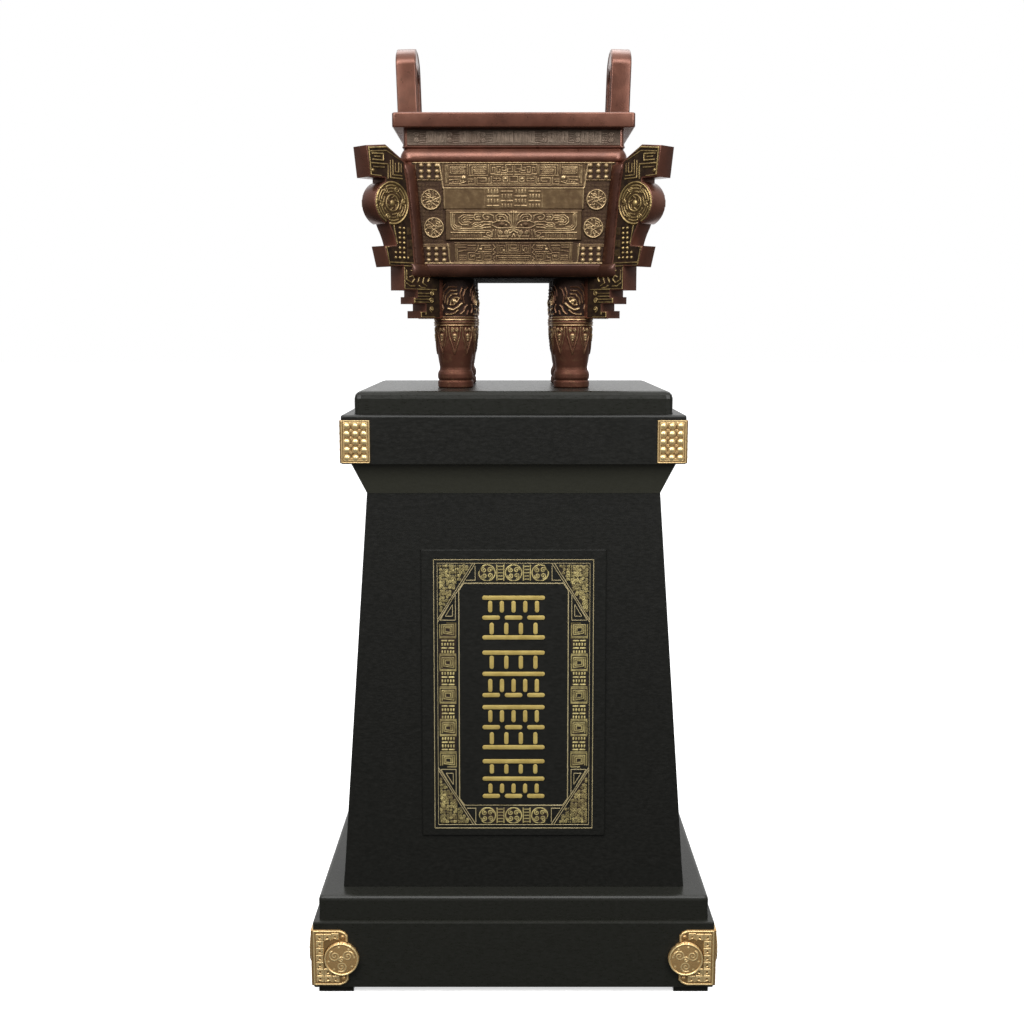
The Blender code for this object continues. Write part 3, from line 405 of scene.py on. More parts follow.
class Relief:
    """Heights over a flat area. Marks are drawn on it, and the tallest mark wins."""

    def __init__(self, low, high, pitch, widen=None):
        columns = int(round((high[0] - low[0]) / pitch)) + 1
        rows = int(round((high[1] - low[1]) / pitch)) + 1
        across, up = np.meshgrid(np.linspace(low[0], high[0], columns), np.linspace(low[1], high[1], rows))
        if widen:
            across = across * (1 + (up - (low[1] + high[1]) / 2) * widen)
        self.x, self.y, self.pitch = across, up, pitch
        self.rise = np.full(across.shape, SKIN)
        self.gold = np.full(across.shape, 0.10)
        self.keep = np.ones(across.shape, bool)

    def near(self, points, reach):
        xs = [point[0] for point in points]
        ys = [point[1] for point in points]
        inside = ((self.x > min(xs) - reach) & (self.x < max(xs) + reach)
                  & (self.y > min(ys) - reach) & (self.y < max(ys) + reach))
        return np.nonzero(inside)

    def mark(self, spots, share, crown, rise, base, gold):
        level = base + SKIN + rise * share * crown
        higher = (share > 0) & (level > self.rise[spots])
        rows, columns = spots[0][higher], spots[1][higher]
        self.rise[rows, columns] = level[higher]
        shade = self.gold[rows, columns]
        self.gold[rows, columns] = shade + (gold - shade) * share[higher]

    def line(self, points, width=0.0014, rise=0.0009, base=0.0, gold=1.0):
        spots = self.near(points, width)
        far = distance(self.x[spots], self.y[spots], points)
        self.groove(spots, far, width / 2, rise, base, gold)

    def lines(self, strokes, middle=0.0, side=1):
        """Lines from a list in millimetres: width, rise, brightness and points."""
        for width, rise, gold, points in strokes:
            placed = [(middle + side * x / 1000, y / 1000) for x, y in points]
            self.line(placed, width / 1000, rise / 1000, 0, gold)

    def groove(self, spots, far, half, rise, base, gold):
        soft = self.pitch * 0.9
        share = np.clip((half + soft / 2 - far) / soft, 0, 1)
        crown = 1 - 0.30 * np.clip(far / half, 0, 1) ** 2
        self.mark(spots, share, crown, rise, base, gold)

    def pair(self, points, *values):
        """A line and its mirror image."""
        for side in (-1, 1):
            self.line([(side * x, y) for x, y in points], *values)

    def ring(self, centre, radius, width=0.0014, rise=0.0009, base=0.0, gold=1.0):
        spots = self.near([centre], radius + width)
        far = np.abs(np.hypot(self.x[spots] - centre[0], self.y[spots] - centre[1]) - radius)
        self.groove(spots, far, width / 2, rise, base, gold)

    def dome(self, centre, radius, rise, base=0.0, gold=1.0, power=0.5):
        spots = self.near([centre], radius)
        far = np.hypot(self.x[spots] - centre[0], self.y[spots] - centre[1]) / radius
        share = (far < 1).astype(float)
        crown = np.clip(1 - far ** 2, 0, 1) ** power
        self.mark(spots, share, crown, rise, base, gold)

    def plate(self, low, high, rise, base=0.0, gold=0.3):
        """A raised rectangle."""
        spots = self.near([low, high], self.pitch)
        x, y = self.x[spots], self.y[spots]
        far = np.maximum(np.maximum(low[0] - x, x - high[0]), np.maximum(low[1] - y, y - high[1]))
        share = np.clip((self.pitch * 0.5 - far) / self.pitch, 0, 1)
        self.mark(spots, share, 1.0, rise, base, gold)

    def fret(self, low, high, base=0.0, turns=3, width=0.0011, rise=0.0007, gold=0.8, flip=False):
        """A square spiral."""
        x0, y0, x1, y1 = low[0], low[1], high[0], high[1]
        step = min(x1 - x0, y1 - y0) / (2 * turns)
        points = [(x0, y0), (x0, y1), (x1, y1), (x1, y0)]
        for _ in range(turns - 1):
            x0, y0, x1, y1 = x0 + step, y0 + step * 0.9, x1 - step, y1 - step * 0.9
            if x1 - x0 < step * 0.5:
                break
            points += [(x0, y0), (x0, y1), (x1, y1), (x1, y0 + step * 0.3)]
        if flip:
            middle = low[0] + high[0]
            points = [(middle - x, y) for x, y in points]
        self.line(points, width, rise, base, gold)

    def spiral(self, centre, radius, turns=1.6, start=0.0, width=0.0013, rise=0.0009, base=0.0, gold=1.0,
               side=1):
        points = []
        steps = int(14 * turns)
        for step in range(steps + 1):
            share = step / steps
            x, y = polar((0, 0), radius * (1 - share * 0.86), start + share * turns * 360)
            points.append((centre[0] + side * x, centre[1] + y))
        self.line(points, width, rise, base, gold)

    def grain(self, amount, scale, seed):
        """Fine unevenness of a cast ground."""
        waves = np.random.default_rng(seed)
        field = np.zeros(self.x.shape)
        for _ in range(7):
            angle, phase = waves.uniform(0, math.tau, 2)
            size = scale * waves.uniform(0.7, 1.9)
            field += np.sin((self.x * math.cos(angle) + self.y * math.sin(angle)) / size + phase)
        self.rise += amount * field / 7
        self.gold = np.clip(self.gold + 0.10 * field / 7, 0, 1)

    def sink_rim(self):
        for rim in (self.rise[0], self.rise[-1], self.rise[:, 0], self.rise[:, -1]):
            rim[:] = -SINK

    def mask(self, outline, margin):
        """Keeps the area within an outline, and sinks its rim."""
        inside = within(self.x, self.y, outline)
        far = distance(self.x, self.y, outline + outline[:1])
        self.keep &= inside & (far > margin - self.pitch)
        self.rise[far < margin] = -SINK
        self.rise[~inside] = -SINK

    def mesh(self, name, place=None, wrap=None):
        """The sheet as a mesh, put in place by a matrix or by a function of x, y and rise."""
        order = np.arange(self.x.size).reshape(self.x.shape)
        quads = np.stack((order[:-1, :-1], order[:-1, 1:], order[1:, 1:], order[1:, :-1]), -1)
        whole = self.keep[:-1, :-1] & self.keep[:-1, 1:] & self.keep[1:, 1:] & self.keep[1:, :-1]
        quads = quads[whole]
        used, quads = np.unique(quads, return_inverse=True)
        quads = quads.reshape(-1, 4)
        x, y, z = (field.ravel()[used] for field in (self.x, self.y, self.rise))
        if wrap:
            points = np.stack(wrap(x, y, z), 1)
        else:
            turn = np.array(place)
            points = np.stack((x, y, z, np.ones_like(x)), 1) @ turn.T[:, :3]
            if place.to_3x3().determinant() < 0:
                quads = quads[:, ::-1]
        mesh = bpy.data.meshes.new(name)
        mesh.from_pydata(points.tolist(), [], quads.tolist())
        shade = mesh.attributes.new("gilding", "FLOAT", "POINT")
        shade.data.foreach_set("value", self.gold.ravel()[used].astype(np.float32))
        return mesh


# Vessel body

def grown(half, amount):
    return tuple(value + amount for value in half)


def rounding(steps, first=0):
    """What is left of the sine and cosine to 1, through a quarter turn."""
    angles = [QUARTER_TURN * step / steps for step in range(first, steps + 1)]
    return [(1 - math.sin(angle), 1 - math.cos(angle)) for angle in angles]


def make_body():
    belly, shoulder = grown(FOOT_HALF, 0.0012), grown(TOP_HALF, 0.0012)
    floor_top = LEG_HEIGHT + 0.008
    edge_low, edge_high, edge_radius = 0.0020, 0.0024, 0.0045
    inner_radius = 0.026
    rings = []
    for inset, rise in rounding(8):
        inset *= BELLY_ROUND
        rings.append((grown(belly, -inset), CORNER_RADIUS - inset / 2, LEG_HEIGHT + BELLY_ROUND * rise))
    rings += [(grown(belly, 0.0003), CORNER_RADIUS, FOOT_LEVEL - 0.0026),
              (belly, CORNER_RADIUS, FOOT_LEVEL - 0.0012),
              (FOOT_HALF, CORNER_RADIUS, FOOT_LEVEL), (TOP_HALF, CORNER_RADIUS, TOP_LEVEL),
              (shoulder, CORNER_RADIUS, TOP_LEVEL + 0.0010)]
    for step in range(1, 12):
        share = step / 12
        swell = 0.0014 * math.sin(math.pi * min(share * 1.15, 1)) ** 0.8
        back = 0.0062 * max(0, (share - 0.12) / 0.88) ** 1.5
        radius = CORNER_RADIUS - (CORNER_RADIUS - 0.006) * max(0, share - 0.35) / 0.65
        rings.append((grown(shoulder, swell - back), radius, TOP_LEVEL + 0.0010 + 0.0190 * share))
    rings += [(grown(NECK_HALF, 0.0016), 0.0062, NECK_LEVEL - 0.0018),
              (grown(NECK_HALF, 0.0016), 0.0062, NECK_LEVEL - 0.0006),
              (NECK_HALF, 0.006, NECK_LEVEL), (NECK_HALF, 0.006, RIM_LEVEL),
              (grown(RIM_HALF, -0.0022), edge_radius, RIM_LEVEL + 0.0002)]
    rings += [(grown(RIM_HALF, -edge_low * inset), edge_radius, RIM_LEVEL + 0.0002 + edge_low * rise)
              for inset, rise in rounding(4)]
    rings += [(grown(RIM_HALF, -edge_high * inset), edge_radius, MOUTH_LEVEL - edge_high * drop)
              for drop, inset in rounding(4)]
    rings += [(grown(LIP_HALF, 0.0014), 0.008, MOUTH_LEVEL), (LIP_HALF, 0.007, MOUTH_LEVEL - 0.0014),
              (LIP_HALF, 0.007, RIM_LEVEL + WALL / 2), (grown(NECK_HALF, -WALL), inner_radius, NECK_LEVEL),
              (grown(TOP_HALF, -WALL), inner_radius, TOP_LEVEL),
              (grown(FOOT_HALF, -WALL), inner_radius, floor_top + BELLY_ROUND)]
    for rise, inset in rounding(5, 1):
        inset *= BELLY_ROUND
        rings.append((grown(FOOT_HALF, -WALL - inset), inner_radius - inset, floor_top + BELLY_ROUND * rise))
    form = bmesh.new()
    add_loft(form, [rounded_ring(half, radius, FLOOR + level) for half, radius, level in rings])
    bmesh.ops.recalc_face_normals(form, faces=form.faces)
    for face in form.faces:
        # Downward faces at the foot take the second material, near-black painted shade.
        low = face.calc_center_median().z < FLOOR + LEG_HEIGHT + 0.002
        face.material_index = 1 if low and face.normal.z < -0.8 else 0
    body = add_piece("ding_body", from_form("ding_body", form), BODY_BRONZE_SHADED_LOW, "ding", 40)
    body.data.materials.append(UNDERSIDE_SHADE)


# Front and side panels

def panel_face(quarter):
    reach = CORNER_MID[1 - quarter % 2]
    middle = Matrix.Translation((0, -reach, FLOOR + PANEL_MIDDLE))
    turn = Matrix.Rotation(QUARTER_TURN * quarter, 4, "Z")
    return turn @ middle @ Matrix.Rotation(QUARTER_TURN + PANEL_LEAN, 4, "X")


def draw_grid(sheet, side, edge, level, foot):
    """Nine round bosses in a framed square."""
    wide, tall = 0.0190, 0.0118
    middle = side * (edge - wide)
    low, high = (middle - wide, level - tall), (middle + wide, level + tall)
    sheet.plate(grown(low, -0.0002), grown(high, 0.0002), 0.0001, 0, 0.04)
    sheet.line(rectangle(low, high), 0.0014, 0.0012, 0, 0.55)
    for column in (-1, 0, 1):
        for row in (-1, 0, 1):
            sheet.dome((middle + column * 0.0112, level + row * 0.0079), 0.0032, 0.0028, 0, 0.82)
    if foot:
        bar = level + 0.0142
        sheet.line([(middle - wide, bar), (middle + wide, bar)], 0.0013, 0.0008, 0, 0.5)


def draw_medallion(sheet, centre, lower):
    """A raised disc with a ring and a curling beast."""
    face = 0.0011
    sheet.dome(centre, 0.0146, 0.0012, 0, 0.30, 0.12)
    sheet.ring(centre, 0.0134, 0.0018, 0.0012, face, 0.95)
    spin, shift = (-1, 40) if lower else (1, 0)
    for turn in range(3):
        spot = polar(centre, 0.0068, 120 * turn + shift)
        sheet.spiral(spot, 0.0042, 1.3, 120 * turn + 90, 0.0013, 0.0011, face, 0.85, spin)
    sheet.ring(centre, 0.0026, 0.0013, 0.0012, face, 0.9)
    for turn in range(12):
        sheet.dome(polar(centre, 0.0110, 30 * turn + 12), 0.0011, 0.0009, face, 0.9)
    for turn in range(6):
        start = 60 * turn + 40
        spoke = [polar(centre, 0.0036, start), polar(centre, 0.0092, start + SPOKE_LEAN)]
        sheet.line(spoke, 0.0011, 0.0010, face, 0.8)


# Strokes of the front panel's right half, chosen on an enlarged view of it.
# Each point is its place across and down that view, which on_panel turns into millimetres.

VIEW_MIDDLE, VIEW_ACROSS = 20, 0.1097
VIEW_LEVEL, VIEW_DOWN, PANEL_UP = 370, 0.1045, 35.7

UPPER_BAND = (
    ((20, 48), (925, 48)),
    ((35, 90), (35, 168), (100, 168), (100, 128), (62, 128)),
    ((20, 72), (120, 72), (120, 150), (168, 150), (168, 108), (146, 108)),
    ((148, 72), (322, 72), (322, 190), (262, 190), (262, 110), (292, 110), (292, 160)),
    ((190, 98), (236, 98), (236, 172), (196, 172), (196, 134)),
    ((112, 178), (176, 178)),
    ((345, 72), (345, 200)),
    ((368, 104), (556, 104), (556, 200)),
    ((372, 132), (530, 132), (530, 158), (392, 158)),
    ((368, 76), (590, 76), (590, 200)),
    ((388, 184), (520, 184)),
    ((618, 72), (618, 196)),
    ((644, 104), (838, 104), (838, 182), (650, 182)),
    ((650, 158), (816, 158)),
    ((664, 130), (816, 130)),
    ((644, 76), (868, 76), (868, 248)),
    ((355, 214), (596, 214)),
    ((36, 200), (320, 200)),
    ((20, 226), (70, 226), (70, 296), (20, 296)),
    ((98, 226), (154, 226), (154, 290), (98, 290), (98, 226)),
    ((178, 222), (286, 222), (286, 250), (192, 250), (192, 286), (286, 286)),
    ((308, 224), (308, 320), (494, 320), (494, 246), (376, 246), (376, 290), (450, 290)),
    ((338, 246), (338, 296)),
    ((520, 238), (520, 326), (604, 326), (604, 290), (560, 290)),
    ((546, 262), (612, 262)),
    ((704, 232), (852, 232)),
    ((716, 262), (850, 272)),
    ((640, 292), (706, 318), (852, 318)),
    ((24, 316), (286, 316)),
    ((20, 340), (906, 340)),
    ((884, 80), (884, 318)),
    ((900, 80), (896, 318)),
)

MASK = (
    ((20, 700), (842, 700)),
    ((838, 712), (834, 880), (796, 934), (600, 942), (336, 944)),
    ((816, 716), (812, 868), (776, 908), (640, 916), (420, 918)),
    ((794, 722), (792, 858), (764, 886), (700, 892)),
    ((552, 742), (676, 734), (728, 772), (736, 826), (700, 862), (610, 866)),
    ((548, 768), (664, 760), (700, 786), (704, 822), (676, 840), (566, 842)),
    ((560, 796), (640, 788), (672, 802), (664, 820), (600, 820)),
    ((98, 826), (104, 764), (140, 728), (220, 722), (250, 752), (246, 800), (206, 810), (196, 776)),
    ((128, 812), (134, 776), (164, 754), (210, 756)),
    ((66, 812), (72, 744), (108, 708)),
    ((276, 806), (284, 744), (330, 722), (400, 722), (424, 750), (402, 790), (350, 792), (340, 766),
     (366, 754)),
    ((448, 724), (520, 724), (536, 760), (520, 800), (448, 800)),
    ((456, 752), (500, 754), (500, 776), (462, 778)),
    ((42, 912), (80, 836), (130, 812), (230, 816), (296, 838)),
    ((42, 912), (60, 904), (230, 906), (300, 872), (296, 838)),
    ((300, 826), (420, 822), (460, 838), (520, 838), (560, 866), (520, 888), (440, 886), (400, 862),
     (322, 858)),
    ((446, 864), (480, 852), (526, 864), (486, 876), (446, 864)),
    ((320, 894), (404, 900), (560, 896)),
    ((36, 930), (86, 936), (72, 980), (92, 1034)),
    ((100, 1034), (116, 990)),
    ((218, 934), (232, 984), (214, 1034)),
    ((252, 930), (262, 1034)),
    ((286, 934), (300, 1020), (350, 1032), (410, 1026)),
    ((336, 944), (306, 962), (306, 1000), (340, 1014), (372, 996), (368, 968), (340, 968)),
    ((396, 968), (838, 966)),
    ((20, 1052), (838, 1052)),
)

LOWER_BAND = (
    ((20, 1106), (790, 1106)),
    ((20, 1136), (62, 1136), (62, 1180), (20, 1180)),
    ((84, 1132), (84, 1206), (20, 1206)),
    ((112, 1132), (112, 1230), (20, 1230)),
    ((138, 1240), (138, 1144), (214, 1144), (214, 1236), (164, 1236), (164, 1172), (190, 1172),
     (190, 1210)),
    ((236, 1132), (236, 1250), (20, 1250)),
    ((290, 1128), (262, 1170), (292, 1206), (262, 1240), (296, 1270)),
    ((318, 1140), (440, 1140), (440, 1166)),
    ((310, 1196), (396, 1196), (396, 1166), (330, 1166)),
    ((306, 1226), (480, 1226)),
    ((326, 1254), (410, 1254), (410, 1330), (316, 1330), (316, 1284), (384, 1284), (384, 1306)),
    ((20, 1280), (244, 1280), (244, 1340)),
    ((20, 1306), (220, 1306)),
    ((20, 1332), (216, 1332)),
    ((268, 1296), (290, 1320), (268, 1346)),
    ((432, 1246), (432, 1346), (500, 1346), (500, 1306), (460, 1306), (460, 1280)),
    ((462, 1252), (520, 1252)),
    ((480, 1136), (490, 1190), (520, 1226)),
    ((516, 1140), (620, 1140)),
    ((522, 1178), (616, 1178)),
    ((520, 1204), (640, 1204), (736, 1222)),
    ((524, 1240), (614, 1240), (614, 1330), (530, 1330), (530, 1272), (584, 1272), (584, 1300),
     (556, 1300)),
    ((640, 1136), (740, 1136)),
    ((644, 1166), (742, 1166)),
    ((640, 1276), (728, 1276)),
    ((634, 1302), (732, 1302)),
    ((634, 1328), (726, 1328)),
    ((762, 1130), (756, 1340)),
    ((782, 1130), (776, 1340)),
    ((20, 1356), (790, 1356)),
)


def on_panel(across, down):
    """Millimetres from the panel's middle and up from its centre, to a tenth."""
    x, y = (across - VIEW_MIDDLE) * VIEW_ACROSS, PANEL_UP - (down - VIEW_LEVEL) * VIEW_DOWN
    return round(x, 1), round(y, 1)


def draw_art(sheet, art, squeeze, base=0.0, gold=1.0):
    """Strokes from a list and their mirror images, some rubbed brighter than others."""
    for place, stroke in enumerate(art):
        points = [on_panel(*point) for point in stroke]
        worn = gold * (0.80 + 0.05 * (place * 7 % 5))
        sheet.pair([(x * squeeze / 1000, y / 1000) for x, y in points], 0.00125, 0.0011, base, worn)


def draw_upper_band(sheet, squeeze, half):
    sheet.plate((-half, 0.0378), (half, 0.0700), 0.0002, 0, 0.28)
    draw_art(sheet, UPPER_BAND, squeeze, 0.0, 0.88)
    for side in (-squeeze, squeeze):
        sheet.dome((side * 0.0708, 0.0492), 0.0030, 0.0020, 0, 0.95)
        sheet.dome((side * 0.0117, 0.0478), 0.0020, 0.0018, 0, 1.0)
        sheet.dome((side * 0.0245, 0.0470), 0.0011, 0.0014, 0, 0.9)
        for place in range(5):
            spot = (side * (0.0715 + 0.0036 * place), 0.0448 - 0.0004 * place)
            sheet.dome(spot, 0.0012, 0.0008, 0, 0.7)


def draw_lower_band(sheet, squeeze, half):
    sheet.plate((-half, -0.0690), (half, -0.0415), 0.0002, 0, 0.18)
    draw_art(sheet, LOWER_BAND, squeeze, 0.0, 0.68)
    for side in (-squeeze, squeeze):
        sheet.dome((side * 0.0472, -0.0500), 0.0021, 0.0018, 0, 0.95)
        sheet.dome((side * 0.0590, -0.0605), 0.0018, 0.0016, 0, 0.6)
        sheet.dome((side * 0.0140, -0.0520), 0.0014, 0.0013, 0, 0.9)


def draw_mask(sheet, squeeze, base):
    """A beast mask, mirrored about its nose ridge, with horns, eyes, jaws and a tail to each side."""
    draw_art(sheet, MASK, squeeze, base)
    sheet.line([(0, 0.0028), (0, -0.0250)], 0.0020, 0.0016, base, 1.0)
    brow = 0.0034 * squeeze
    sheet.pair([(brow, 0.0028), (brow, -0.0120), (0.0012, -0.0215)], 0.0011, 0.0009, base)
    sheet.pair([(0.0062 * squeeze, 0.0020), (0.0062 * squeeze, -0.0095)], 0.0010, 0.0008, base, 0.85)
    sheet.pair([(0.0004, -0.0232), (0.0030, -0.0262), (0.0055, -0.0268), (0.0050, -0.0312)],
               0.0014, 0.0012, base)
    sheet.pair([(0.0, -0.0285), (0.0022, -0.0330)], 0.0013, 0.0011, base)
    for side in (-1, 1):
        across = side * squeeze
        sheet.dome((across * 0.0172, -0.0156), 0.0031, 0.0020, base, 0.35)
        sheet.dome((across * 0.0110, -0.0164), 0.0013, 0.0012, base, 0.95)
        for place, turn in ((0.0110, side), (0.0182, -side)):
            sheet.spiral((across * place, -0.0268), 0.0030, 1.6, 90, 0.0012, 0.0011, base, 1.0, turn)
        sheet.line([(across * 0.0075, -0.0318), (across * 0.0215, -0.0318)], 0.0012, 0.0010, base, 0.9)
        for place in range(13):
            x = across * (0.0462 + 0.0034 * place)
            sheet.line([(x, -0.0338), (x, -0.0285 - 0.0012 * (place % 3))], 0.0010, 0.0007, base, 0.62)


def draw_strokes(sheet, low, high, base):
    """Rows of shallow strokes that are no letters, where the vessel has its marks."""
    for edge in (-0.0415, 0.0405):
        sheet.line([(edge, low + 0.001), (edge, high - 0.001)], 0.0010, 0.0005, base, 0.6)
    for place in range(4):
        left = -0.0380 + place * 0.0197
        for row in range(4):
            up = low + (high - low) * (0.13 + 0.245 * row)
            if (row + place) % 2:
                for tick in range(4):
                    across = left + 0.0022 + 0.0043 * tick
                    sheet.line([(across, up - 0.0020), (across, up + 0.0020)], 0.0015, 0.0009, base, 0.85)
            else:
                for start, end in ((0.0008, 0.0070), (0.0098, 0.0164)):
                    sheet.line([(left + start, up), (left + end, up)], 0.0016, 0.0009, base, 0.85)


def make_panel(quarter, name):
    front = quarter == 0
    reach = CORNER_MID[quarter % 2] - CORNER_RADIUS
    pitch = FINE if front else COARSE
    edge = PANEL_HEIGHT / 2 + 0.0004
    slope = PANEL_TAPER / PANEL_HEIGHT
    sheet = Relief((-reach - 0.0040, -edge), (reach + 0.0040, edge), pitch, slope / reach)
    sheet.grain(0.00006, 0.0016, 11 + quarter)

    def inner(up):
        """Half the width of the bands between the corner columns."""
        return reach - 0.0375 + up * slope

    top, foot = 0.0698, -0.0698
    for level in (top, foot):
        wide = reach + level * slope + 0.0010
        sheet.line([(-wide, level), (wide, level)], 0.0020, 0.0013, 0, 0.9)
    sheet.pair([(inner(top) + 0.0022, top), (inner(0.036), 0.036)], 0.0020, 0.0013, 0, 0.95)
    sheet.pair([(inner(-0.0425) + 0.001, -0.0425), (inner(foot), foot)], 0.0018, 0.0011, 0, 0.9)
    for side in (-1, 1):
        draw_grid(sheet, side, reach + 0.0470 * slope, 0.0578, False)
        draw_grid(sheet, side, reach - 0.0576 * slope, -0.0576, True)
        middle = side * (reach - 0.0170)
        for level in np.arange(-0.039, 0.042, 0.0052):
            for column in range(7):
                spot = (middle + (column - 3) * 0.0052, level)
                sheet.spiral(spot, 0.0020, 1.1, 40 * column + 900 * level, 0.0008, 0.00035, 0, 0.22, side)
        draw_medallion(sheet, (middle, 0.0191), False)
        draw_medallion(sheet, (side * (reach - 0.0209), -0.0199), True)
    squeeze = inner(0) / 0.0973
    draw_upper_band(sheet, squeeze, inner(0.054) - 0.0006)
    draw_lower_band(sheet, squeeze, inner(-0.056) - 0.0006)
    wide = inner(0.021) + 0.0008
    plain = 0.0015
    sheet.plate((-wide, 0.0062), (wide, 0.0356), plain, 0, 0.46)
    sheet.pair([(0, 0.0350), (wide, 0.0350)], 0.0016, 0.0007, plain, 1.0)
    sheet.pair([(wide - 0.0006, 0.0350), (wide - 0.0014, 0.0066)], 0.0014, 0.0006, plain, 0.8)
    if front:
        draw_strokes(sheet, 0.0070, 0.0340, plain)
    wide = inner(-0.017) + 0.0010
    thick = 0.0028
    sheet.plate((-wide, -0.0371), (wide, 0.0052), thick, 0, 0.33)
    draw_mask(sheet, squeeze, thick)
    sheet.sink_rim()
    add_sheet("ding_panel_" + name, sheet, panel_face(quarter), PANEL_METAL)


def make_neck(quarter, name):
    """A low fret band round the neck."""
    reach = NECK_HALF[quarter % 2] - 0.005
    tall = RIM_LEVEL - NECK_LEVEL
    sheet = Relief((-reach, 0), (reach, tall), FINE if quarter == 0 else COARSE)
    sheet.grain(0.00005, 0.0012, 31 + quarter)
    low, high = 0.0030, tall - 0.0028
    sheet.pair([(0, 0.0016), (reach - 0.001, 0.0016)], 0.0012, 0.0006, 0, 0.7)
    sheet.pair([(0, high + 0.0012), (reach - 0.001, high + 0.0012)], 0.0010, 0.0005, 0, 0.5)
    sheet.gold[:] = 0.30
    cell = 0.0094
    for place in range(int((reach - 0.004) / cell)):
        across = 0.0012 + cell * place
        kind = ("fret", "posts", "fret", "rungs", "curls")[place % 5]
        for side in (-1, 1):
            middle = side * (across + cell / 2)
            if kind == "fret":
                sheet.fret((middle - 0.0040, low + 0.0010), (middle + 0.0040, high - 0.0008), 0, 3,
                           0.0009, 0.0007, 0.85, side < 0)
            elif kind == "posts":
                for step in range(4):
                    x = side * (across + 0.0012 + 0.0022 * step)
                    sheet.line([(x, low + 0.0010), (x, high - 0.0008)], 0.0009, 0.0007, 0, 0.80)
            elif kind == "rungs":
                for step in range(5):
                    level = low + 0.0012 + 0.0031 * step
                    start = across + 0.0010 + 0.0010 * (step % 2)
                    sheet.line([(side * start, level), (side * (across + cell - 0.0012), level)],
                               0.0009, 0.0007, 0, 0.80)
            else:
                for shift, turn in ((0.0034, 20), (-0.0034, 200)):
                    spot = (middle, (low + high) / 2 + shift)
                    sheet.spiral(spot, 0.0036, 1.6, turn, 0.0009, 0.0007, 0, 0.90, side)
    sheet.sink_rim()
    stand = Matrix.Translation((0, -NECK_HALF[1 - quarter % 2], FLOOR + NECK_LEVEL))
    face = Matrix.Rotation(QUARTER_TURN * quarter, 4, "Z") @ stand @ Matrix.Rotation(QUARTER_TURN, 4, "X")
    add_sheet("ding_neck_" + name, sheet, face, NECK_METAL)


# Ears

def make_ears():
    shoulder, crown = EAR_TALL - EAR_ARCH, EAR_CROWN - EAR_OPEN * 0.7
    outer = arc((0, shoulder), (EAR_HALF, EAR_ARCH), 0, 180, 40)
    opening = arc((0, crown), (EAR_OPEN, EAR_OPEN * 0.7), 180, 0, 28)
    outline = [(EAR_HALF, -0.006), *outer, (-EAR_HALF, -0.006), (-EAR_OPEN, -0.006), *opening,
               (EAR_OPEN, -0.006)]
    for side, name in ((-1, "left"), (1, "right")):
        reach = RIM_HALF[0] - 0.0012 - 0.014
        stand = Matrix.Translation((side * reach, 0, FLOOR + MOUTH_LEVEL)) @ Matrix.Rotation(
            side * math.radians(1.7), 4, "Y")
        face = stand @ Matrix(((0, 0, side, 0), (side, 0, 0, 0), (0, 1, 0, 0), (0, 0, 0, 1)))
        form = bmesh.new()
        add_outline(form, outline, 0.028, face, 0.0016, 3)
        for level in (0.0138, -0.0138):
            for half, start, rise, steps, width, thick in (
                    (EAR_HALF - 0.0042, shoulder, EAR_ARCH - 0.0042, 32, 0.0018, 0.0022),
                    (EAR_OPEN + 0.0040, crown, EAR_OPEN * 0.7 + 0.0040, 28, 0.0016, 0.0020)):
                line = [(half, 0.001), *arc((0, start), (half, rise), 0, 180, steps), (-half, 0.001)]
                place = face @ Matrix.Translation((0, 0, level))
                add_outline(form, strip_outline(line, width), thick, place, 0.0004, 1)
        add_piece("ding_ear_" + name, from_form("ding_ear_" + name, form), BRONZE,
                  "ding", 40)


# Flanges

def nominal_reach(level):
    return 2 * DIAGONAL * (level - PANEL_MIDDLE) * math.tan(PANEL_LEAN)


def flange_outline():
    meet = math.degrees(math.acos((HOOK_NECK - DISC[0]) / DISC_RADIUS))
    waist_low = FOOT_TOP + HOOK_RISE / 2
    span = DISC[1] - DISC_RADIUS - waist_low
    waist = [(WAIST_REACH + span * out, waist_low + span * up)
             for out, up in ((0.56, 1.25), (0.40, 0.90), (0.24, 0.62), (0.12, 0.36), (0.03, 0.12), (0, 0))]
    outer, first, middle, second, inner = STEP_REACHES
    top, first_top, first_low, second_top, second_low, low = STEP_LIFTS
    axis = DIAGONAL * (sum(LEG_SPOT) - sum(CORNER_MID))
    root_top = HOOK_TOP - 0.0289
    root_low = LEG_HEIGHT + 0.0028
    return [
        (nominal_reach(root_top) - 0.017, root_top), (HOOK_REACH * 0.58, HOOK_TOP + HOOK_RISE),
        (HOOK_REACH, HOOK_TOP), (HOOK_REACH - HOOK_RISE * 1.3, HOOK_LOW), (HOOK_NECK, HOOK_LOW),
        *arc(DISC, DISC_RADIUS, meet, -meet, 30), *waist, (FOOT_REACH, FOOT_TOP),
        (FOOT_REACH * 0.85, FOOT_LOW), (outer, top), (outer, first_top), (first, first_top),
        (first, first_low), (middle, first_low), (middle, second_top), (second, second_top),
        (second, second_low), (inner, second_low), (inner, low), (axis, low), (axis, root_low),
        (nominal_reach(root_low) - 0.017, root_low)]


# Strokes of a flange's face in millimetres: width, rise, brightness, then points out from the corner
# and up from the pedestal

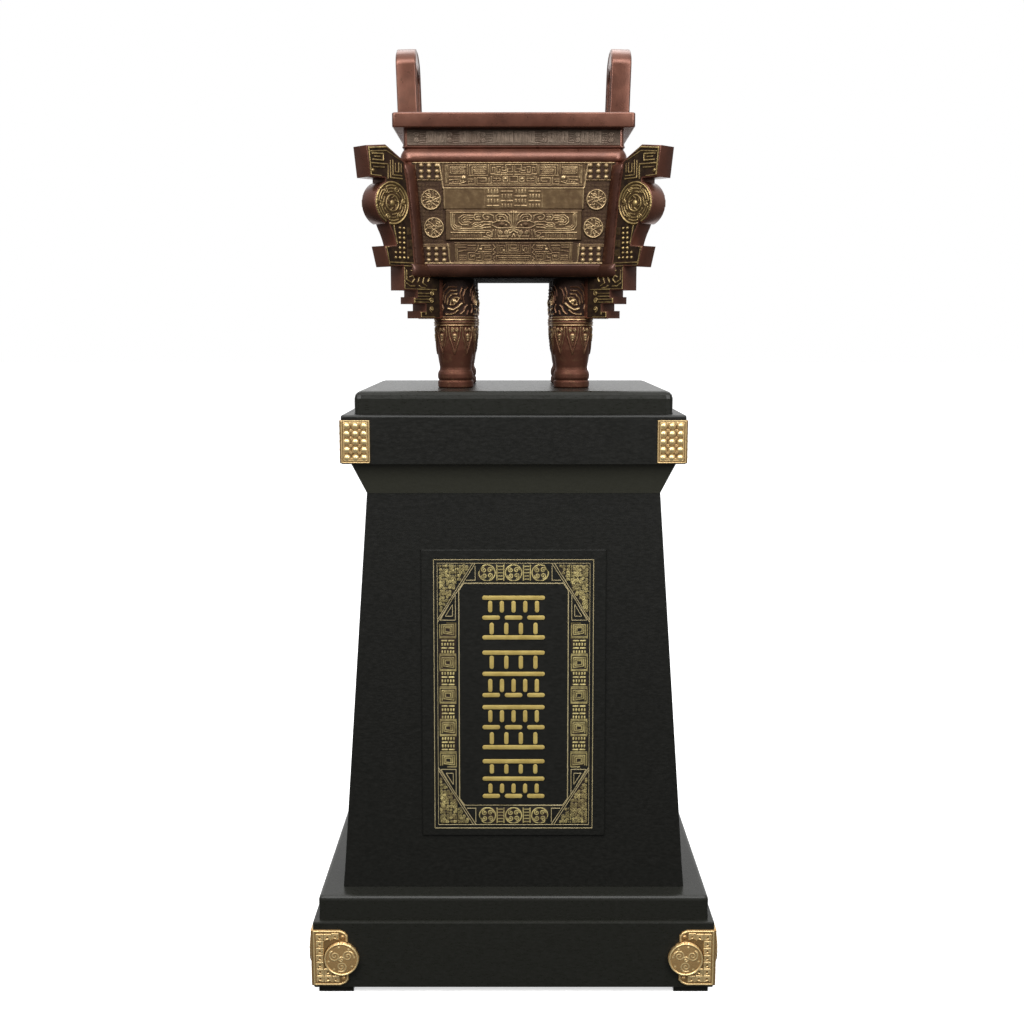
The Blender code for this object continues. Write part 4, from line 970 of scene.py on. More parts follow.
FLANGE_HOOK = (
    (2.0, 1.3, 1.00, ((12.0, 321.0), (46.5, 335.8), (77.5, 331.8))),
    (1.3, 0.9, 0.85, ((22.0, 320.5), (46.5, 330.8), (74.5, 327.5))),
    (2.0, 1.3, 1.00, ((77.5, 332.5), (73.5, 296.0), (56.0, 296.0))),
    (1.6, 1.2, 1.00, ((70.0, 317.0), (52.0, 317.0), (52.0, 326.2), (71.5, 325.0))),
    (1.5, 1.1, 0.95, ((67.0, 321.4), (57.5, 321.8))),
    (1.8, 1.3, 1.00, ((73.5, 312.0), (44.0, 312.8), (44.0, 293.5))),
    (1.4, 1.0, 0.80, ((69.0, 307.2), (50.0, 308.0))),
    (1.5, 1.2, 1.00, ((39.5, 318.0), (39.5, 295.0), (18.0, 295.0))),
    (1.4, 1.0, 0.95, ((35.0, 319.0), (35.0, 299.0), (19.0, 299.0))),
    (1.3, 1.0, 0.90, ((30.5, 315.0), (30.5, 303.5), (24.5, 303.5), (24.5, 316.0))),
    (1.3, 0.9, 0.85, ((20.0, 315.0), (20.0, 304.0))),
)
FLANGE_FOOT = (
    (1.6, 1.1, 1.00, ((34.5, 230.0), (32.0, 218.0), (29.0, 206.0), (50.0, 199.5))),
    (1.4, 1.1, 0.95, ((-10.0, 179.5), (43.0, 179.5))),
    (1.4, 1.1, 0.95, ((-10.0, 175.2), (41.5, 175.2))),
    (1.4, 1.1, 0.90, ((47.8, 197.5), (43.0, 176.5))),
    (1.1, 0.7, 0.40, ((-6.0, 296.0), (-12.0, 180.0))),
)
FLANGE_CURLS = (
    (1.7, 1.4, 0.90, ((12.5, 169.0), (12.5, 156.0), (3.0, 152.0), (-2.0, 157.0), (2.0, 162.0),
                      (6.5, 160.0))),
    (1.7, 1.4, 0.90, ((4.0, 169.0), (-6.0, 167.0), (-11.0, 160.0), (-8.0, 153.0))),
    (1.7, 1.4, 0.90, ((-16.0, 169.0), (-20.0, 160.0), (-17.0, 152.0), (-25.0, 148.0))),
    (1.7, 1.4, 0.90, ((12.5, 151.0), (6.0, 147.0), (-3.0, 147.5))),
    (1.7, 1.4, 0.90, ((-26.0, 168.0), (-30.0, 159.0), (-27.0, 154.0))),
    (1.7, 1.4, 0.90, ((-11.0, 148.0), (-15.0, 145.5), (-22.0, 145.0))),
)
STUD_COLUMNS = (0.0316, 0.0239, 0.0162, 0.0091)


def draw_disc(sheet):
    """The medallion: two rings, a knob and whirling arcs."""
    face = 0.0009
    sheet.dome(DISC, 0.0296, 0.0010, 0, 0.34, 0.10)
    sheet.ring(DISC, 0.0283, 0.0022, 0.0014, face, 1.0)
    sheet.ring(DISC, 0.0110, 0.0016, 0.0012, face, 1.0)
    sheet.dome(DISC, 0.0040, 0.0018, face, 1.0)
    for start in range(0, 360, 60):
        sheet.line(arc(DISC, 0.0240, start + 4, start + 44, 6), 0.0015, 0.0011, face, 1.0)
        sheet.line(arc(DISC, 0.0200, start + 12, start + 52, 6), 0.0013, 0.0010, face, 0.95)
        sheet.spiral(polar(DISC, 0.0205, start + 52), 0.0042, 1.3, start + 130, 0.0013, 0.0011, face, 0.95)
        sheet.line(arc(DISC, 0.0155, start, start + 30, 5), 0.0013, 0.0010, face, 0.9)
        spoke = [polar(DISC, 0.0065, start + 20), polar(DISC, 0.0100, start + 20 + SPOKE_LEAN)]
        sheet.line(spoke, 0.0013, 0.0010, face, 0.9)


def draw_flange(sheet):
    """Hook fret, medallion, small bosses and foot lines on a flange's face."""
    sheet.lines(FLANGE_HOOK)
    sheet.dome((0.0705, 0.3025), 0.0026, 0.0016, 0, 0.9)
    draw_disc(sheet)
    for level in (0.2272, 0.2204, 0.2136, 0.2069, 0.1998):
        for across in STUD_COLUMNS[1:3]:
            sheet.dome((across, level), 0.0021, 0.0019, 0, 1.0)
    for level, places in ((0.1931, STUD_COLUMNS[:3]), (0.1863, STUD_COLUMNS)):
        for across in places:
            sheet.dome((across, level), 0.0021, 0.0018, 0, 1.0)
    for level in (0.2235, 0.2065, 0.1930):
        sheet.fret((0.0015, level - 0.0045), (0.0100, level + 0.0045), 0, 3, 0.0010, 0.0006, 0.35)
    sheet.lines(FLANGE_FOOT)
    outer, _, middle, _, inner = STEP_REACHES
    top, first_top, first_low, second_top, second_low, low = STEP_LIFTS
    line_level, line_reach = first_top + 0.0018, outer - 0.0016
    sheet.line([(-0.044, line_level), (line_reach, line_level), (line_reach, top - 0.0025)],
               0.0016, 0.0012, 0, 1.0)
    sheet.lines(FLANGE_CURLS)
    for step in range(4):
        level = second_top + 0.0026 + 0.0042 * step
        sheet.line([(-0.030, level), (middle - 0.0040, level)], 0.0012, 0.0010, 0, 0.8)
    sheet.line([(middle - 0.0022, first_low - 0.0015), (middle - 0.0022, second_top + 0.0010)],
               0.0020, 0.0012, 0, 1.0)
    line_level, line_reach = low + 0.0018, inner - 0.0018
    sheet.line([(-0.0400, line_level), (line_reach, line_level), (line_reach, second_low - 0.0016),
                (-0.0230, second_low - 0.0016), (-0.0230, low + 0.0055)], 0.0014, 0.0011, 0, 1.0)
    for spot, turn in (((-0.0345, 0.1380), 90), ((-0.0340, 0.1270), 10), ((-0.0345, 0.1150), 270)):
        sheet.spiral(spot, 0.0042, 1.4, turn, 0.0015, 0.0012, 0, 0.95)


def corner_column():
    """The body's rounded corner, where it swells over the flange's root."""
    low, high = 0.1700, 0.3160
    column = Relief((-0.0400, low), (0.0140, high), COARSE)
    outside = np.interp(column.y, *FACE_EDGE) - 0.0004
    inside = nominal_reach(column.y) - 0.0150
    half = (outside - inside) / 2
    off = (column.x - inside - half) / half
    ends = np.clip((column.y - low) / 0.010, 0, 1) * np.clip((high - column.y) / 0.012, 0, 1)
    column.rise = 0.0026 * np.sqrt(np.clip(1 - off ** 2, 0, 1)) * np.sqrt(ends) - 0.0002
    column.keep = np.abs(off) < 1.12
    column.rise[np.abs(off) >= 1] = -SINK
    return column


def belly_moulding():
    """The belly's moulding where it runs on over the flange and rounds off."""
    belly = Relief((-0.0360, 0.1590), (0.0036, 0.1800), COARSE)
    lift = (belly.y - 0.1695) / 0.0105
    end = np.clip((belly.x + 0.0100) / 0.0136, 0, 1)
    bulge = np.sqrt(np.clip(1 - lift ** 2, 0, 1)) * np.sqrt(np.clip(1 - end ** 2, 0, 1))
    belly.rise = 0.0052 * bulge - 0.0003
    belly.sink_rim()
    return belly


def make_flanges():
    outline = flange_outline()
    levels = np.linspace(0.1720, 0.3190, 12)
    reaches = np.interp(levels, *FACE_EDGE)
    inner_edge = [(float(reach), float(level)) for reach, level in zip(reaches, levels)]
    face_area = [(-0.0250, 0.1705), *inner_edge, *outline[1:]]
    for side_x, side_y, name in CORNERS:
        out = Vector((side_x * DIAGONAL, side_y * DIAGONAL, 0))
        up = Vector((0, 0, 1))
        place = Matrix((out, up, out.cross(up))).transposed().to_4x4()
        place.translation = Vector((side_x * CORNER_MID[0], side_y * CORNER_MID[1], FLOOR))
        form = bmesh.new()
        add_outline(form, outline, FLANGE_HALF * 2, place, 0.0011, 2)
        add_piece("ding_flange_" + name, from_form("ding_flange_" + name, form), BRONZE,
                  "ding", 40)
        for turned, letter in ((1, "a"), (-1, "b")):
            normal = place.to_3x3() @ Vector((0, 0, turned))
            seen = normal.y < 0 and side_y < 0
            sheet = Relief((-0.050, 0.1000), (0.0830, 0.3400), FINE if seen else COARSE * 1.1)
            sheet.grain(0.00005, 0.0014, 51)
            draw_flange(sheet)
            sheet.mask(face_area, 0.0016)
            face = place @ Matrix.Translation((0, 0, turned * FLANGE_HALF)) @ Matrix.Diagonal(
                (1, 1, turned, 1))
            add_sheet(f"ding_flange_relief_{name}_{letter}", sheet, face, FLANGE_METAL)
            add_sheet(f"ding_corner_{name}_{letter}", corner_column(), face, BODY_BRONZE_SHADED_LOW)
            add_sheet(f"ding_belly_{name}_{letter}", belly_moulding(), face, BODY_BRONZE_SHADED_LOW)


# Legs

LEG_PLAIN = 0.26
LEG_LEVELS = (0.0, 0.0014, 0.0090, 0.0107, 0.0115, 0.0125, 0.0150, 0.0200, 0.0232, 0.0262, 0.0300, 0.0437,
              0.0557, 0.0702, 0.0817, 0.0909, 0.0916, 0.1017, 0.1024, 0.1650)
LEG_RADII = (0.0252, 0.0264, 0.0266, 0.0253, 0.0248, 0.0258, 0.0267, 0.0267, 0.0259, 0.0240, 0.0236, 0.0256,
             0.0276, 0.0288, 0.0296, 0.0300, 0.0310, 0.0310, 0.0300, 0.0300)


def leg_radius(level):
    """The turned profile: foot rings, ankle, calf, band and top."""
    return np.interp(level, LEG_LEVELS, LEG_RADII)


# Strokes of one beast face in millimetres: width, rise, brightness, then points across and up

BEAST_EYE = (
    (2.0, 2.0, 0.95, ((-6.0, 121.5), (-1.5, 121.0), (4.5, 126.0), (7.0, 131.0))),
    (2.0, 2.0, 0.95, ((-6.0, 121.5), (-4.5, 127.5), (1.0, 132.0), (7.0, 131.0))),
)
BEAST_FACE = (
    (1.9, 1.5, 0.75, ((-10.5, 122.0), (-9.5, 130.0), (-3.5, 136.5), (4.0, 137.0))),
    (1.7, 1.3, 0.60, ((-14.5, 124.0), (-13.0, 134.5), (-6.0, 141.5), (3.0, 142.0))),
    (1.5, 1.2, 0.45, ((-18.0, 128.0), (-16.0, 140.0), (-8.0, 147.0), (3.0, 147.0))),
    (1.7, 1.3, 0.55, ((10.5, 129.0), (8.5, 137.5), (11.5, 146.0))),
    (1.6, 1.3, 0.50, ((15.0, 124.0), (13.0, 134.0), (16.0, 143.0), (21.0, 146.5))),
    (2.8, 2.0, 1.00, ((-9.0, 116.0), (-2.0, 114.0), (5.0, 118.0), (11.0, 123.5))),
    (2.2, 1.6, 0.85, ((-13.0, 108.0), (-6.0, 107.5), (1.0, 109.5), (5.0, 113.5))),
    (1.8, 1.4, 0.65, ((9.0, 108.0), (14.0, 112.0), (16.0, 118.0), (20.0, 121.0))),
    (1.7, 1.3, 0.55, ((-20.0, 110.0), (-17.0, 116.0), (-19.0, 122.0))),
    (1.6, 1.2, 0.55, ((19.0, 107.5), (21.5, 113.0))),
    (1.5, 1.1, 0.40, ((-21.5, 134.0), (-20.5, 143.0), (-14.0, 151.0))),
)


def draw_leaf(sheet, middle, wide):
    """A hanging leaf with an inner outline, two curls and three beads."""
    for share, waist, top, shoulder, tip, width, rise, gold in (
            (1.0, 0.92, 0.0890, 0.0760, 0.0500, 0.0014, 0.0010, 0.72),
            (0.5, 0.45, 0.0870, 0.0770, 0.0610, 0.0012, 0.0008, 0.7)):
        sheet.line([(middle - wide * share, top), (middle - wide * waist, shoulder), (middle, tip),
                    (middle + wide * waist, shoulder), (middle + wide * share, top)], width, rise, 0, gold)
    for side in (-1, 1):
        sheet.spiral((middle + side * wide * 0.42, 0.0850), 0.0028, 1.3, 90, 0.0013, 0.0011, 0, 0.9, side)
    for level, radius in ((0.0770, 0.0030), (0.0735, 0.0024), (0.0700, 0.0016)):
        sheet.dome((middle, level), radius, 0.0018, 0, 0.95)


def draw_leg(sheet, around, turn):
    """Beast faces over a ring band and hanging leaves, repeated round the leg."""
    for face in range(-2, 3):
        middle = face * around / 4
        sheet.lines(BEAST_EYE, middle, turn)
        sheet.dome((middle + turn * 0.0004, 0.1266), 0.0034, 0.0026, 0, 1.0)
        sheet.lines(BEAST_FACE, middle, turn)
    for level, share in ((0.1035, 0.9), (0.1000, 0.95), (0.0955, 0.7), (0.0918, 0.95)):
        sheet.line([(-around / 2, level), (around / 2, level)], 0.0015, 0.0009, 0, share)
    leaves = 9
    for leaf in range(leaves):
        draw_leaf(sheet, (leaf - (leaves - 1) / 2) * around / leaves, around / leaves * 0.42)
    carved = (sheet.y > 0.1040) & (sheet.gold < LEG_PLAIN + 0.02)
    sheet.gold = LEG_PLAIN + (sheet.gold - LEG_PLAIN) * np.clip((sheet.y - 0.040) / 0.05, 0.25, 1)
    sheet.gold[carved] = 0.0


def make_legs():
    around = math.tau * LEG_RADII[-1]
    for side_x, side_y, corner in CORNERS:
        name = "ding_leg_" + corner
        pitch = FINE * 1.15 if side_y < 0 else COARSE * 1.2
        sheet = Relief((-around / 2, 0.0), (around / 2, 0.1640), pitch)
        sheet.gold[:] = LEG_PLAIN
        sheet.rise[:] = 0.0
        draw_leg(sheet, around, -side_x)
        join = np.maximum(sheet.rise[:, 0], sheet.rise[:, -1])
        sheet.rise[:, 0] = join
        sheet.rise[:, -1] = join

        def wrap(across, up, rise):
            angle = across / around * math.tau - math.pi / 2
            radius = leg_radius(up) + rise
            return (side_x * LEG_SPOT[0] + radius * np.cos(angle),
                    side_y * LEG_SPOT[1] + radius * np.sin(angle), FLOOR + up)

        mesh = sheet.mesh(name, wrap=wrap)
        form = bmesh.new()
        form.from_mesh(mesh)
        bmesh.ops.remove_doubles(form, verts=form.verts, dist=0.00002)
        rims = [edge for edge in form.edges if edge.is_boundary]
        bmesh.ops.holes_fill(form, edges=rims, sides=0)
        form.to_mesh(mesh)
        form.free()
        add_piece(name, mesh, LEG_METAL, "ding", 50)


# Gilt fittings

def fitting_face(half, side_x, side_y, level, along_x):
    """Frame on a block's face at one corner: x away from the corner, y up, z outwards."""
    corner = Matrix.Translation((side_x * half[0], side_y * half[1], level))
    if along_x:
        return corner @ Matrix(((-side_x, 0, 0, 0), (0, 0, side_y, 0), (0, 1, 0, 0), (0, 0, 0, 1)))
    return corner @ Matrix(((0, 0, side_x, 0), (-side_y, 0, 0, 0), (0, 1, 0, 0), (0, 0, 0, 1)))


BOSS_PLATE = (0.0514, 0.0865, 0.0025)
STUD_PLATE = (0.0410, 0.0612, 0.0015)


def boss_fret(sheet, x, y, wide, base, flip=False):
    sheet.fret((x, y), (x + wide, y + 0.0085), base, 2, 0.0018, 0.0012, 1.0, flip)


def draw_boss_plate(sheet):
    """A plate with a fret ground, two rivets and a round boss with a coiled beast."""
    width, tall, thick = BOSS_PLATE
    centre = (0.0419, tall / 2)
    boss, boss_radius, hollow_radius = 0.0077, 0.0250, 0.0225
    outline = [(-thick, 0.0), (width - 0.012, 0.0), (width - 0.004, 0.0035), (width, 0.0085),
               (width, tall - 0.0085), (width - 0.004, tall - 0.0035), (width - 0.012, tall), (-thick, tall)]
    inside = within(sheet.x, sheet.y, outline)
    far = np.hypot(sheet.x - centre[0], sheet.y - centre[1])
    sheet.rise[:] = -SINK
    sheet.rise[inside] = thick
    sheet.gold[:] = 0.16
    base = thick - SKIN
    edge = [(0.0016, 0.0020), (width - 0.0125, 0.0020), (width - 0.0050, 0.0052), (width - 0.0018, 0.0095),
            (width - 0.0018, 0.0200)]
    for points in (edge, [(x, tall - y) for x, y in edge], [(0.0016, 0.0020), (0.0016, tall - 0.0020)]):
        sheet.line(points, 0.0022, 0.0010, base, 1.0)
    for row in range(7):
        for column in range(2):
            x = 0.0055 + column * 0.0115
            y = 0.0065 + row * 0.0108
            if math.hypot(x + 0.004 - centre[0], y + 0.004 - centre[1]) > 0.0300:
                boss_fret(sheet, x, y, 0.0090, base, column % 2 > 0)
    for y in (0.0060, tall - 0.0140):
        boss_fret(sheet, 0.0285, y, 0.0085, base)
    for y in (0.0110, tall - 0.0110):
        sheet.dome((width - 0.0075, y), 0.0030, 0.0018, base, 0.25)
    round_edge = far < boss_radius
    sheet.rise[round_edge] = boss
    sheet.gold[round_edge] = 0.60
    sheet.gold[(far >= boss_radius) & (far < 0.0268)] = 0.0
    top = boss - SKIN
    hollow = far < hollow_radius
    swell = np.sqrt(np.clip(1 - (far[hollow] / hollow_radius) ** 2, 0, 1))
    sheet.rise[hollow] = boss - 0.0012 + 0.0016 * swell
    sheet.gold[hollow] = 0.36
    sheet.ring(centre, 0.0238, 0.0020, 0.0008, top, 1.0)
    for turn in (0, 120, 240):
        sheet.spiral(polar(centre, 0.0110, turn + 30), 0.0082, 1.7, turn, 0.0020, 0.0014, top - 0.0006, 1.0)
    sheet.spiral(centre, 0.0045, 1.2, 40, 0.0020, 0.0015, top - 0.0002, 1.0)
    for turn in range(8):
        sheet.dome(polar(centre, 0.0188, 45 * turn + 10), 0.0020, 0.0014, top - 0.0010, 0.95)
    whole = inside | round_edge
    sheet.rise[(sheet.y < sheet.pitch * 0.5) | (sheet.y > tall - sheet.pitch * 0.5)] = -SINK
    grown_area = whole.copy()
    for shift in ((0, 1), (0, -1), (1, 0), (-1, 0)):
        grown_area |= np.roll(whole, shift, (0, 1))
    sheet.keep &= grown_area
    sheet.rise[~whole] = -SINK


def draw_stud_plate(sheet):
    """A framed plate with rows of small pointed studs and curls between them."""
    width, tall, thick = STUD_PLATE
    columns, rows = 3, 5
    sheet.rise[:] = thick
    sheet.gold[:] = 0.05
    base = thick - SKIN
    dots = np.sin(sheet.x * 2900) * np.sin(sheet.y * 2900)
    sheet.rise += 0.00008 * dots
    sheet.gold += 0.22 * dots
    for inset, bright in ((0.0012, 1.0), (0.0042, 0.85)):
        sheet.line(rectangle((inset, inset), (width - inset, tall - inset)), 0.0014, 0.0006, base, bright)
    for column in range(columns):
        for row in range(rows):
            spot = (width / columns * (column + 0.5) + (1 - column) * 0.0016,
                    tall / rows * (row + 0.5) + (2 - row) * 0.0010)
            sheet.dome(spot, 0.0040, 0.0020, base, 1.0, 0.9)
            sheet.ring(spot, 0.0048, 0.0009, 0.0004, base, 0.45)
    for column in range(columns - 1):
        for row in range(rows + 1):
            spot = (width / columns * (column + 1) + (0.5 - column) * 0.0016,
                    tall / (rows + 1) * (row + 0.5))
            sheet.spiral(spot, 0.0024, 1.3, 90 * row + 40 * column, 0.0010, 0.0006, base, 0.70)
    for rim in (sheet.rise[:, -1], sheet.rise[0], sheet.rise[-1]):
        rim[:] = -SINK


def make_fittings():
    stud_level, boss_level = COLLAR_BASE + 0.0008, PLINTH_BASE + 0.0036
    kinds = (("studded_corner", COLLAR_HALF, stud_level, STUD_PLATE[0], STUD_PLATE, draw_stud_plate),
             ("bossed_corner", PLINTH_HALF, boss_level, 0.0675, BOSS_PLATE, draw_boss_plate))
    for side_x, side_y, corner in CORNERS:
        for kind, half, base, reach, (_, tall, thick), draw in kinds:
            node = f"{kind}_{corner}"
            for along_x in (True, False):
                seen = along_x and side_y < 0
                sheet = Relief((-thick, 0.0), (reach, tall), FINE * 0.9 if seen else COARSE)
                draw(sheet)
                sheet.rise[:, 0] = np.where(sheet.rise[:, 0] > 0, thick, -SINK)
                if kind == "bossed_corner":
                    sheet.rise[0] = -SINK
                    sheet.rise[-1] = -SINK
                face = fitting_face(half, side_x, side_y, base, along_x)
                add_sheet(f"{node}_{'face' if along_x else 'return'}", sheet, face, GILT, node)


# Plaque

def trunk_face():
    lean = math.atan2(TRUNK_FOOT[1] - TRUNK_TOP[1], TRUNK_TALL)
    return Matrix.Translation((0, -TRUNK_FOOT[1], TRUNK_BASE)) @ Matrix.Rotation(QUARTER_TURN - lean, 4, "X")


PLAQUE_MIDDLE = 0.2906
OUTER = (0.1159, 0.1999)
INNER = (0.0795, 0.1654)
CHAMFER = (0.0072, 0.0104)
CORNER_SPAN = (0.0515, 0.0830)


def add_bar(form, points, width=0.0011, rise=0.0006):
    """A raised gold line on the plaque."""
    place = trunk_face() @ Matrix.Translation((0, PLAQUE_MIDDLE, PLAQUE_FRONT + rise / 2 - 0.0002))
    add_outline(form, strip_outline(points, width), rise + 0.0004, place, min(width, rise) * 0.3, 1)


def octagon(half, cut):
    x, y = half
    return [(-x + cut[0], -y), (x - cut[0], -y), (x, -y + cut[1]), (x, y - cut[1]), (x - cut[0], y),
            (-x + cut[0], y), (-x, y - cut[1]), (-x, -y + cut[1]), (-x + cut[0], -y), (0, -y)]


def make_plaque_lines():
    form = bmesh.new()
    for (x, y), width in ((OUTER, 0.0011), (grown(OUTER, -0.0052), 0.0008)):
        for line in ([(-x, -y), (x, -y)], [(-x, y), (x, y)], [(-x, -y), (-x, y)], [(x, -y), (x, y)]):
            add_bar(form, line, width)
    add_bar(form, octagon(INNER, CHAMFER), 0.0015)
    x, y = OUTER[0] - 0.0052, OUTER[1] - 0.0052
    cut_x, cut_y = x - CORNER_SPAN[0], y - CORNER_SPAN[1]
    for side_x in (-1, 1):
        for side_y in (-1, 1):
            def placed(points):
                return [(side_x * across, side_y * up) for across, up in points]

            for shift in (0.0, 0.0038):
                add_bar(form, placed([(x, cut_y - shift), (cut_x - shift, y)]))
            tip, corner, far = (INNER[0] + 0.0050, cut_y + 0.0385), (INNER[0] + 0.0050, cut_y - 0.0005), (
                x - 0.0040, cut_y - 0.0005)
            add_bar(form, placed([tip, corner]))
            add_bar(form, placed([corner, far]), 0.0011, 0.0005)
            add_bar(form, placed([far, tip]))
            near = (corner[0] + 0.0042, corner[1] + 0.0058)
            above, beside = (near[0], near[1] + 0.0170), (near[0] + 0.0105, near[1])
            add_bar(form, placed([above, near]), 0.0010)
            add_bar(form, placed([near, beside]), 0.0010, 0.0005)
            add_bar(form, placed([beside, above]), 0.0010)
            bend, top = cut_x - 0.0035, INNER[1] + 0.0045
            add_bar(form, placed([(bend, y - 0.0040), (bend, top), (cut_x + 0.0095, top)]))
    add_piece("plaque_lines", from_form("plaque_lines", form), PLAQUE_LINE, None, 40)


def rounded_bar(form, points, width):
    """A stroke with round ends."""
    start, end = points
    angle = math.degrees(math.atan2(end[1] - start[1], end[0] - start[0]))
    outline = arc(end, width / 2, angle - 90, angle + 90, 8)
    outline += arc(start, width / 2, angle + 90, angle + 270, 8)
    place = trunk_face() @ Matrix.Translation((0, PLAQUE_MIDDLE, PLAQUE_FRONT + 0.0004))
    add_outline(form, outline, 0.0014, place, 0.0004, 2)


def make_plaque_strokes():
    """Rows of rounded strokes that are no letters, in the four places of the large marks."""
    form = bmesh.new()
    width, half, gap = 0.0062, 0.0425, 0.0130
    places = ((0.0828, 0.1473), (-0.0027, 0.0664), (-0.0807, -0.0146), (-0.1543, -0.0957))
    for place, (low, high) in enumerate(places):
        middle = (low + high) / 2
        tall = (high - low - 3 * width) / 2 - 0.0056 - width
        for row, level in enumerate((high - width / 2, middle, low + width / 2)):
            parts = 3 if row == 1 + place % 2 else 1
            span = (2 * half + gap) / parts
            for part in range(parts):
                start = -half + part * span
                rounded_bar(form, [(start, level), (start + span - gap, level)], width)
        for row, level in enumerate(((high + middle) / 2, (low + middle) / 2)):
            count = 5 - (row + place) % 2
            for column in range(count):
                across = 2 * half * ((column + 0.5) / count - 0.5)
                rounded_bar(form, [(across, level - tall / 2), (across, level + tall / 2)], width)
    add_piece("plaque_strokes", from_form("plaque_strokes", form), PLAQUE_GOLD, None, 40)


BORDER_OUTER, BORDER_INNER = grown(OUTER, -0.0068), grown(INNER, 0.0030)


def draw_border_side(sheet, left, right, flip):
    """Fret squares and squares of small strokes by turns, down one side of the border."""
    for place in range(9):
        middle = 0.1080 - place * 0.0243 - 0.0108
        bottom, top = middle - 0.0103, middle + 0.0103
        if place % 2 == 0:
            sheet.line(rectangle((left, bottom), (right, top)), 0.0012, 0.0006, 0, 0.72)
            sheet.fret((left + 0.0030, bottom + 0.0030), (right - 0.0030, top - 0.0030), 0, 3,
                       0.0013, 0.0006, 0.78, flip)
        else:
            for row in range(4):
                level = top - 0.0022 - row * 0.0055
                count = 5 if (row + place // 2) % 2 else 2
                span = (right - left - 0.0030) / count
                for part in range(count):
                    start = left + 0.0015 + part * span
                    if count == 2:
                        stroke = [(start + 0.0018, level), (start + span - 0.0018, level)]
                    else:
                        stroke = [(start + span / 2, level - 0.0011), (start + span / 2, level + 0.0011)]
                    sheet.line(stroke, 0.0021, 0.0007, 0, 1.0)
        sheet.line([(left, bottom - 0.0016), (right, bottom - 0.0016)], 0.0012, 0.0005, 0, 0.8)


def draw_border_end(sheet, low, high):
    """Three roundels with rungs between them, at the border's top or foot."""
    middle = (low + high) / 2
    for across in (-0.0385, 0.0, 0.0385):
        sheet.ring((across, middle), 0.0118, 0.0014, 0.0007, 0, 0.95)
        for turn in range(4):
            spot = polar((across, middle), 0.0060, 90 * turn + 45)
            sheet.spiral(spot, 0.0042, 1.4, 90 * turn, 0.0012, 0.0006, 0, 0.95)
    for across in (-0.01925, 0.01925):
        for edge in (across - 0.0050, across + 0.0050):
            sheet.line([(edge, low + 0.001), (edge, high - 0.001)], 0.0012, 0.0006, 0, 0.9)
        for level in np.linspace(low + 0.003, high - 0.003, 5):
            sheet.line([(across - 0.0032, level), (across + 0.0032, level)], 0.0013, 0.0005, 0, 0.8)


def draw_border_corners(sheet, seed):
    """A thicket of small curls in the four corners."""
    x1, y1 = BORDER_OUTER
    tone = np.random.default_rng(seed)
    for side_x in (-1, 1):
        for side_y in (-1, 1):
            for row in range(19):
                for column in range(12):
                    x = x1 - 0.0030 - column * 0.0047 + tone.uniform(-0.0008, 0.0008)
                    y = y1 - 0.0030 - row * 0.0046 + tone.uniform(-0.0008, 0.0008)
                    inner = (x1 - x) / (CORNER_SPAN[0] - 0.006) + (y1 - y) / (CORNER_SPAN[1] - 0.009)
                    if inner < 1.0:
                        turn = tone.uniform(0, 360)
                        radius = tone.uniform(0.0020, 0.0030)
                        bright = tone.uniform(0.45, 1.0)
                        sheet.spiral((side_x * x, side_y * y), radius, 1.2, turn, 0.0011, 0.0008, 0, bright)


def make_plaque_relief():
    """Frets, roundels and small stroke squares in the plaque's border."""
    (x1, y1), (x0, y0) = BORDER_OUTER, BORDER_INNER
    for name, low, high in (("left", (-x1, -y1), (-x0, y1)), ("right", (x0, -y1), (x1, y1)),
                            ("foot", (-x0, -y1), (x0, -y0)), ("top", (-x0, y0), (x0, y1))):
        sheet = Relief(low, high, FINE * 1.1)
        sheet.gold[:] = 0.06
        if name in ("left", "right"):
            draw_border_side(sheet, low[0] + 0.0016, high[0] - 0.0016, name == "right")
        else:
            draw_border_end(sheet, low[1], high[1])
        draw_border_corners(sheet, 71)
        across, up = np.abs(sheet.x), np.abs(sheet.y)
        corner = (x1 + 0.0016 - across) / CORNER_SPAN[0] + (y1 + 0.0016 - up) / CORNER_SPAN[1]
        sheet.keep &= (corner < 0.99) | (corner > 1.30) | (up < y1 - CORNER_SPAN[1] - 0.004)
        beside = (corner >= 0.99) & (up > y1 - CORNER_SPAN[1] - 0.002)
        beside &= across > x1 - CORNER_SPAN[0] - 0.004
        sheet.keep &= ~beside
        sheet.sink_rim()
        place = trunk_face() @ Matrix.Translation((0, PLAQUE_MIDDLE, PLAQUE_FRONT - 0.0001))
        add_sheet("plaque_relief_" + name, sheet, place, PLAQUE_RELIEF, None)


# Scene

def dress_pedestal():
    # The cornice and the boards take lighter lacquer copies as painted light; trunk, plaque and collar take
    # the darkest.
    coats = {"cornice": CORNICE_LACQUER_PAINTED_LIGHT, "trunk": LACQUER, "plaque": LACQUER, "collar_block": LACQUER}
    for name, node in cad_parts.items():
        if not name.startswith(("ding", "studded", "bossed")):
            node.data.materials.clear()
            node.data.materials.append(coats.get(name, BOARD_LACQUER_PAINTED_LIGHT))


def add_light(name, spot, target, size, power):
    lamp = bpy.data.lights.new(name, "AREA")
    lamp.shape = "RECTANGLE"
    lamp.size, lamp.size_y = size
    lamp.energy = power
    thing = bpy.data.objects.new(name, lamp)
    bpy.context.scene.collection.objects.link(thing)
    thing.location = spot
    thing.rotation_euler = (Vector(target) - Vector(spot)).to_track_quat("-Z", "Y").to_euler()


